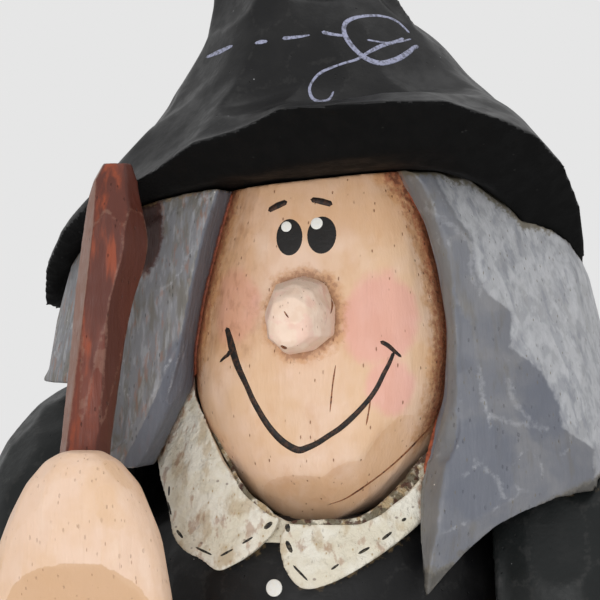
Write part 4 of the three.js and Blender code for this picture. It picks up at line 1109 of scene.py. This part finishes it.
NOSE_SKIN = 0.26
NOSE_CRACKS = [
    (
        [(1.2, 203.5), (2.8, 203.2), (4.3, 202.3), (5.1, 200.8), (5.2, 199.1), (4.9, 197.9)],
        [0.12, 0.25, 0.3, 0.4, 0.35, 0.15],
    ),
    ([(-2.5, 193.4), (-2.0, 193.1), (-1.5, 193.0)], [0.3, 0.5, 0.3]),
    ([(-2.0, 198.4), (-1.6, 197.8), (-1.3, 197.4)], [0.15, 0.25, 0.15]),
]


class WITCH_OT_hair(bpy.types.Operator):
    """Carves the two locks and the hair at the back"""

    bl_idname = "witch.hair"
    bl_label = "Hair"

    def execute(self, context):
        s = sizes()
        for node, coarse, dry_brush_and_highlight, seed in LOCKS:
            lock = Blank(node, s.hair_skin * coarse, even=10, rub=26)
            lock.keep_seam(1.4, "head", "hat")
            for flat in HAIR_FLATS.get(node, ()):
                lock.pare(*flat)
            if node == "hair_right":
                lock.bevel(STRIP_EDGE, side=-1, fall=0.9)
            lock.whittle(s.hair_flat, depth=0.35, scoop=0.06, tilt=0.05, seed=seed)
            lock.finish(2, 2.4, "dress", "collar_left", "collar_right", "sleeve_right")
            lock.near_pieces("crust", 2.0, "hat")
            self.mark(lock, dry_brush_and_highlight)
            lock.near_pieces("seam", 1.6, "head")
            coat = paint("Rough hair paint" if node == "hair_left" else "Hair paint")
            lock.mount(node + "_carved", "hair_paint", coat)
            CARVED[node] = lock.tree()
        self.run_glaze()
        return {"FINISHED"}

    @staticmethod
    def mark(lock, dry_brush_and_highlight):
        """Notes where the darker, cooler and lighter paints go: painted shadow with stain beside the
        stick, and light paint that is dry brush and painted highlight.
        """
        face = lock.facing(6)
        x, y, z = lock.points.T
        marks = lock.marks
        strip = marks.pop("bevel") if "bevel" in marks else eased(face[:, 0], 0.3, 0.5)
        marks["inner"] = lock.spread(strip, 2)
        # Beside the stick, under the brim, paint darkens the hair: stain and painted shadow
        marks["stick"] = oval_mark(x, z, *STICK_STAIN_AND_SHADOW) * (face[:, 1] < -0.3)
        cool = [oval_mark(x, z, *area) for area in COOL_AREAS.get(lock.node, ())]
        marks["cool"] = np.maximum.reduce([0 * x, *cool])
        # Faces that look up get the light paint: dry brush and painted highlight
        top = eased(face[:, 2] + 0.6 * np.abs(face[:, 0]), 0.35, 0.8)
        marks["dry_brush_and_highlight"] = dry_brush_and_highlight * top * (1 - 0.7 * marks["cool"])
        if lock.node == "hair_right":
            # The right lock's outer side, right of a given edge, gets the light paint: dry brush and
            # painted highlight
            across = x + SLANT * (y - BRUSH_DEPTH)
            marks["dry_brush_and_highlight"] = eased(across - np.interp(z, *LIGHT_EDGE), -0.6, 1.4)
            lock.near_courses("rubbed", 1.1, LOCK_RUBS)
            marks["hem"] = lock.near_arris(3.2) * (1 - eased(z - 0.55 * (x - 22), 160, 163))

    @staticmethod
    def run_glaze():
        """The antiquing that has run into the joints between face and locks."""
        joints = bmesh.new()
        chance = np.random.default_rng(44)
        for node, side, low in (("hair_left", -1, 188), ("hair_right", 1, 174)):
            starts = [(FACE_MIDDLE, z) for z in np.arange(low, FACE_TOP, 0.5)]
            course = joint_course(CARVED["head"], CARVED[node], starts, (0.15 * side, 0))
            run_bead(joints, course, chance.uniform(0.3, 0.5, len(course)))
        hang_paint(joints, "joint_glaze", "face_paint", paint("Joint glaze"))


# Each lock, how coarse its skin is, how much light paint, dry brush and painted highlight, goes on its
# upper faces, and its seed
LOCKS = [("hair_left", 1.0, 0.6, 41), ("hair_right", 1.0, 1.0, 42), ("hair_back", 1.25, 0.6, 43)]
FACE_MIDDLE, FACE_TOP = 3.3, 217
# Where stain and painted shadow darken the hair beside the stick
STICK_STAIN_AND_SHADOW = (-23.4, 210.5, 3.4, 7.5, 1.0)
# Heights up the right lock, and how far across its light paint, dry brush and painted highlight, begins
# there
LIGHT_EDGE = (
    [177.5, 180.9, 184.2, 189.2, 193.0, 198.1, 201.0, 204.5, 209.0, 213.9, 219.0],
    [45.0, 39.8, 39.4, 36.7, 31.8, 32.2, 28.2, 26.5, 26.2, 22.8, 20.5],
)
LOCK_RUBS = [
    [(19.6, 213.8), (25.8, 208.9), (26.2, 204.5), (27.8, 201.0)],
    [(27.4, 190.1), (27.7, 186.7), (28.6, 183.3), (32.0, 181.9), (35.5, 181.4), (37.6, 180.8)],
    [(32.0, 188.1), (32.3, 185.6), (34.0, 183.3), (36.1, 181.4)],
    [(26.6, 176.4), (28.5, 174.9), (30.0, 173.5), (30.9, 171.0)],
]
COOL_AREAS = {
    "hair_left": [(-17.0, 187.0, 4.0, 9.0, 1.0)],
    "hair_right": [(28.0, 175.0, 7.0, 10.0, 1.0), (38.0, 184.0, 6.0, 7.0, 0.8)],
}
# Each flat: a spot on it, the way it faces, its depth and its reach
HAIR_FLATS = {
    "hair_left": [((-23.2, -25.9, 181.9), (0.50, -0.83, -0.23), 0.0, 14)],
    "hair_right": [
        ((24.0, -21.5, 212.0), (0.62, -0.68, 0.39), 0.0, 16),
        ((29.2, -21.3, 200.0), (0.70, -0.66, 0.27), -0.4, 16),
        ((31.2, -24.8, 170.5), (0.46, -0.84, -0.20), 0.3),
    ],
}
# The edge from which the right lock falls back towards the face
STRIP_EDGE = [
    (18.8, -22.4, 219.0), (20.5, -22.2, 214.9), (23.3, -22.8, 205.9), (24.4, -23.4, 200.0),
    (24.8, -24.0, 194.1), (24.8, -25.4, 185.2), (23.8, -26.6, 177.9), (22.7, -27.6, 170.6),
    (22.2, -28.3, 163.4), (21.5, -28.3, 158.0),
]


class WITCH_OT_collar(bpy.types.Operator):
    """Carves the scalloped collar and paints the stitches and the crust on it"""

    bl_idname = "witch.collar"
    bl_label = "Collar"

    def execute(self, context):
        s = sizes()
        stitches = bmesh.new()
        for node, seed in (("collar_band", 51), ("collar_left", 52), ("collar_right", 53)):
            lapel = Blank(node, s.skin, even=5, rub=14)
            lapel.whittle(s.nose_flat * 1.5, depth=0.22, scoop=0.05, tilt=0.09, seed=seed)
            lapel.finish(2, 1.5, "head", "dress", "hair_left", "hair_right", "hand_left")
            lapel.mount(node + "_carved", "collar_paint", paint("Collar paint"))
            ground = CARVED[node] = lapel.tree()
            for a, b, wide in STITCHES.get(node, ()):
                middle = ((a[0] + b[0]) / 2, (a[1] + b[1]) / 2)
                brush_line(stitches, ground, [a, middle, b], [wide * 0.7, wide, wide * 0.6])
        hang_paint(stitches, "collar_stitches", "collar_paint", paint("Stitch paint"))
        crust = bmesh.new()
        for node, low, high, girths in CRUSTS:
            starts = [(x, CRUST_START) for x in np.arange(low, high, 0.4)]
            course = joint_course(CARVED["head"], CARVED[node], starts, (0, -0.15))
            run_bead(crust, course, girths, lift=0.6)
        hang_paint(crust, "collar_crust", "collar_paint", paint("Collar crust"))
        return {"FINISHED"}


CRUST_START = 184  # height on the face from which the lapels' top edge is sought
# Each lapel, where its crust begins and ends across the figure, and its girths in between
CRUSTS = [
    ("collar_left", -13, -1, [0.2, 0.4, 0.3, 0.45, 0.35, 0.45, 0.25]),
    ("collar_right", 0.5, 21.5, [0.25, 0.4, 0.35, 0.5, 0.4, 0.6, 0.7, 0.9, 1.1, 1.2, 1.2]),
]
# Each stitch: its two ends and its width
STITCHES = {
    "collar_left": [
        ((-17.4, 165.4), (-16.1, 164.3), 0.48), ((-13.8, 163.2), (-10.9, 162.2), 0.36),
        ((-9.6, 162.1), (-7.6, 163.2), 0.36), ((-6.3, 164.0), (-4.7, 165.0), 0.36),
        ((-3.1, 166.2), (-1.9, 167.2), 0.75), ((-19.6, 169.4), (-18.6, 167.4), 0.48),
        ((-19.5, 171.7), (-19.4, 170.2), 0.36),
    ],
    "collar_right": [
        ((0.3, 167.1), (0.6, 165.8), 0.8), ((0.4, 164.6), (1.4, 162.9), 0.7),
        ((1.7, 161.2), (4.0, 159.0), 0.36), ((7.3, 160.6), (8.4, 161.4), 0.36),
        ((11.0, 162.8), (12.6, 163.7), 0.48), ((14.2, 164.7), (15.5, 165.8), 0.48),
        ((16.8, 167.3), (17.4, 167.7), 0.48),
    ],
}


class WITCH_OT_hands(bpy.types.Operator):
    """Carves the mitten hands"""

    bl_idname = "witch.hands"
    bl_label = "Hands"

    def execute(self, context):
        s = sizes()
        for node, seed in (("hand_left", 61), ("hand_right", 62)):
            hand = Blank(node, s.skin * 1.1, even=6, rub=8)
            low = np.zeros(len(hand.points), bool)
            if node == "hand_left":
                low = hand.pare(*PALM_FLAT)
            hand.whittle(s.hand_flat * 0.9, depth=0.15, scoop=0.03, tilt=0.03, seed=seed, where=~low)
            hand.finish(3, 1.6, "sleeve_left", "sleeve_right", "broom_handle", "dress", "collar_left")
            # The palm's lower flat looks down, and paint darkens it as painted shade
            hand.marks["shaded"] = hand.spread(low * 1.0, 2)
            hand.mount(node + "_carved", "skin_paint", paint("Flesh paint"))
        return {"FINISHED"}


PALM_FLAT = ((-24.5, -54.15, 163.4), (0.03, -0.94, -0.34), 0.0, 9)


class WITCH_OT_clothes(bpy.types.Operator):
    """Carves the dress and the sleeves and paints the buttons on the dress"""

    bl_idname = "witch.clothes"
    bl_label = "Dress and sleeves"

    def execute(self, context):
        s = sizes()
        dress = Blank("dress", s.cloth_skin, sharp=60, rub=6)
        dress.keep_seam(4.0, "boot_left", "boot_right")
        dress.whittle(s.dress_flat, depth=0.3, scoop=0.05, tilt=0.03, seed=71, stretch=(1, 1, 1.6))
        around = ("collar_left", "collar_right", "hair_left", "hair_right", "hair_back")
        dress.finish(2, 2.2, *around, rounds=4)
        dress.mount("dress_carved", "dress_paint", paint("Dress paint"))
        for node, seed in (("sleeve_left", 72), ("sleeve_right", 73)):
            sleeve = Blank(node, s.cloth_skin * 0.8, even=8, rub=16)
            sleeve.whittle(s.dress_flat * 0.95, depth=0.4, scoop=0.06, tilt=0.04, seed=seed)
            sleeve.finish(2, 1.8, "hand_left", "hand_right", "hair_right", "dress", rounds=4)
            sleeve.mount(node + "_carved", "sleeve_paint", paint("Sleeve paint"))
        ground = dress.tree()
        buttons = bmesh.new()
        for x, z, r in BUTTONS:
            brush_spot(buttons, ground, x, z, r, r, body=3.0)
        hang_paint(buttons, "dress_buttons", "dress_paint", paint("Button paint"))
        return {"FINISHED"}


BUTTONS = [(-1.6, 157.5, 1.25), (-1.4, 138, 1.25), (-1.0, 118, 1.3)]  # across, up and radius


class WITCH_OT_boots(bpy.types.Operator):
    """Carves the boots"""

    bl_idname = "witch.boots"
    bl_label = "Boots"

    def execute(self, context):
        s = sizes()
        for node, seed in (("boot_left", 81), ("boot_right", 82)):
            boot = Blank(node, s.skin * 1.3, even=12, rub=16)
            boot.whittle(s.hand_flat, depth=0.3, scoop=0.05, tilt=0.05, seed=seed)
            boot.even_out(3)
            boot.soften(3, everywhere=True)
            boot.read_edges()
            boot.mount(node + "_carved", "boot_paint", paint("Boot paint"))
        return {"FINISHED"}


class WITCH_OT_broom(bpy.types.Operator):
    """Carves the broomstick and the splints and paints their twine"""

    bl_idname = "witch.broom"
    bl_label = "Broom"

    def execute(self, context):
        s = sizes()
        self.carve_stick(s)
        bindings = ("broom_binding_upper", "broom_binding_lower")
        bundle = Blank("broom_bristles", s.skin * 1.3, rub=2)
        bundle.finish(0, 1.5, *bindings)
        bundle.mount("broom_bristles_carved", "straw", paint("Straw stain"))
        for node in bindings:
            band = Blank(node, BAND_SKIN * MM)
            band.read_edges(4)
            band.mount(node + "_wound", "twine", paint("Twine fibre"))
        return {"FINISHED"}

    @staticmethod
    def carve_stick(s):
        stick = Blank("broom_handle", s.skin * 1.1, rub=4)
        stick.whittle(s.nose_flat, depth=0.12, scoop=0.04, tilt=0.05, seed=91, stretch=(1, 1, 4))
        for face, reach in STICK_FLATS:
            stick.hew(*STICK_LINE, face, reach)
        low, high = np.array(STICK_LINE)
        x, _, z = stick.points.T
        aside = x - np.interp(z, (low[2], high[2]), (low[0], high[0]))
        middle, tall, swell = KNOT
        stick.points[:, 0] += eased(aside, -1.0, 2.5) * swell * np.exp(-(((z - middle) / tall) ** 2))
        stick.finish(1, 2.2, "hand_left", "hat", "hair_left")
        # The stick's left side is painted lighter as painted sheen, its right side darker as painted
        # shade
        side = stick.facing(3)[:, 0]
        stick.marks["lit"] = eased(-side, 0.5, 0.7)
        stick.marks["front"] = 1 - eased(np.abs(side), 0.25, 0.5)
        stick.marks["turned"] = eased(side, 0.4, 0.6)
        stick.mount("broom_handle_carved", "stick_stain", paint("Stick stain"))


STICK_LINE = ((-38, -52, 62), (-24.7, -33, 220.2))
STICK_FLATS = [((-0.85, -0.53, 0), 3.3), ((0.0, -1, 0), 3.7), ((0.85, -0.5, 0), 3.6)]
KNOT = (208, 6, 1.4)  # height, half height and rise of the swelling on the stick's right side
BAND_SKIN = 0.3


class WITCH_OT_hidden(bpy.types.Operator):
    """Finishes the pegs and the felt under the dress"""

    bl_idname = "witch.hidden"
    bl_label = "Pegs and felt"

    def execute(self, context):
        pegs = ("shoulder_peg_left", "shoulder_peg_right", "neck_peg", "hat_peg")
        for node, coat in (*((peg, "Bare wood") for peg in pegs), ("base_felt", "Pressed felt")):
            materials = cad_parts[node].data.materials
            materials.clear()
            materials.append(paint(coat))
        return {"FINISHED"}


class WITCH_OT_stage(bpy.types.Operator):
    """Lays the paper, hangs the lamps and sets the camera"""

    bl_idname = "witch.stage"
    bl_label = "Floor, lamps and camera"

    def execute(self, context):
        scene = context.scene
        paper = pots().paper
        floor_shape = bmesh.new()
        bmesh.ops.create_circle(floor_shape, cap_ends=True, segments=96, radius=FLOOR_RADIUS * MM)
        mesh = bpy.data.meshes.new("paper_floor")
        floor_shape.to_mesh(mesh)
        floor_shape.free()
        coat = bpy.data.materials.new("Paper")
        coat.use_nodes = True
        shader = coat.node_tree.nodes["Principled BSDF"]
        shader.inputs["Base Color"].default_value = (*paper, 1)
        shader.inputs["Roughness"].default_value = 0.9
        mesh.materials.append(coat)
        floor = bpy.data.objects.new("paper_floor", mesh)
        scene.collection.objects.link(floor)
        self.light_world(scene, paper)
        for name, spot, aim, size, power in LAMPS:
            self.hang_lamp(scene, name, spot, aim, size, power)
        self.set_camera(scene)
        scene.view_settings.view_transform = "Standard"
        return {"FINISHED"}

    @staticmethod
    def light_world(scene, paper):
        world = bpy.data.worlds.new("Soft tent")
        scene.world = world
        world.use_nodes = True
        tree = world.node_tree
        ray = place(tree, "ShaderNodeLightPath")
        seen = sums(tree, "MAXIMUM", ray.outputs["Is Camera Ray"], ray.outputs["Is Transmission Ray"])
        seen = sums(tree, "MAXIMUM", seen, ray.outputs["Is Glossy Ray"])
        light = between(tree, seen, 0.0, 1.0, TENT_LIGHT, 1.0)
        tree.links.new(light, tree.nodes["Background"].inputs["Strength"])
        tree.nodes["Background"].inputs["Color"].default_value = (*paper, 1)

    @staticmethod
    def hang_lamp(scene, name, spot, aim, size, power):
        lamp = bpy.data.lights.new(name, "AREA")
        lamp.shape = "DISK"
        lamp.size = size * MM
        lamp.energy = power
        hung = bpy.data.objects.new(name, lamp)
        hung.location = Vector(spot) * MM
        hung.rotation_euler = (Vector(aim) - Vector(spot)).to_track_quat("-Z", "Y").to_euler()
        scene.collection.objects.link(hung)

    @staticmethod
    def set_camera(scene):
        turn = math.radians(CAMERA_TURN)
        eye = bpy.data.cameras.new("Viewer")
        eye.sensor_width = CAMERA_FILM
        eye.lens = CAMERA_LENS
        eye.clip_start = 0.01
        viewer = bpy.data.objects.new("Viewer", eye)
        right = Vector((math.cos(turn), math.sin(turn), 0))
        spot = Vector((math.sin(turn) * CAMERA_FAR, -math.cos(turn) * CAMERA_FAR, CAMERA_HIGH))
        viewer.location = (spot - CAMERA_ASIDE * right) * MM
        viewer.rotation_euler = (math.radians(90), 0, turn)
        scene.collection.objects.link(viewer)
        scene.camera = viewer


FLOOR_RADIUS = 950
TENT_LIGHT = 0.8
CAMERA_TURN = 11
CAMERA_FAR = 380
CAMERA_HIGH = 200
CAMERA_ASIDE = 3.52
CAMERA_FILM = 36
CAMERA_LENS = 142.5
# Each lamp: where it hangs, what it looks at, how wide it is, and its watts
LAMPS = [
    ("Front softbox", (110, -930, 170), (0, 0, 195), 700, 2.15),
    ("Low card", (-60, -700, 20), (0, 0, 205), 500, 1.85),
    ("Top softbox", (250, 50, 950), (0, 0, 200), 600, 1.1),
]

PIECES = (
    WITCH_OT_hat,
    WITCH_OT_head,
    WITCH_OT_nose,
    WITCH_OT_hair,
    WITCH_OT_collar,
    WITCH_OT_hands,
    WITCH_OT_clothes,
    WITCH_OT_boots,
    WITCH_OT_broom,
    WITCH_OT_hidden,
    WITCH_OT_stage,
)


class WITCH_PT_panel(bpy.types.Panel):
    """Lists the pieces, the knife's sizes and the paints"""

    bl_idname = "WITCH_PT_panel"
    bl_label = "Carved Witch"
    bl_space_type = "VIEW_3D"
    bl_region_type = "UI"
    bl_category = "Witch"

    def draw(self, context):
        for piece in PIECES:
            self.layout.operator(piece.bl_idname)
        for group in (context.scene.witch_carving, context.scene.witch_paints):
            box = self.layout.box()
            for name in type(group).__annotations__:
                box.prop(group, name)


CLASSES = (WitchCarving, WitchPaints, *PIECES, WITCH_PT_panel)


def register():
    for made in CLASSES:
        bpy.utils.register_class(made)
    bpy.types.Scene.witch_carving = PointerProperty(type=WitchCarving)
    bpy.types.Scene.witch_paints = PointerProperty(type=WitchPaints)


def unregister():
    del bpy.types.Scene.witch_paints
    del bpy.types.Scene.witch_carving
    for made in reversed(CLASSES):
        bpy.utils.unregister_class(made)


def main():
    register()
    for piece in PIECES:
        family, name = piece.bl_idname.split(".")
        getattr(getattr(bpy.ops, family), name)()


if __name__ == "__main__":
    main()
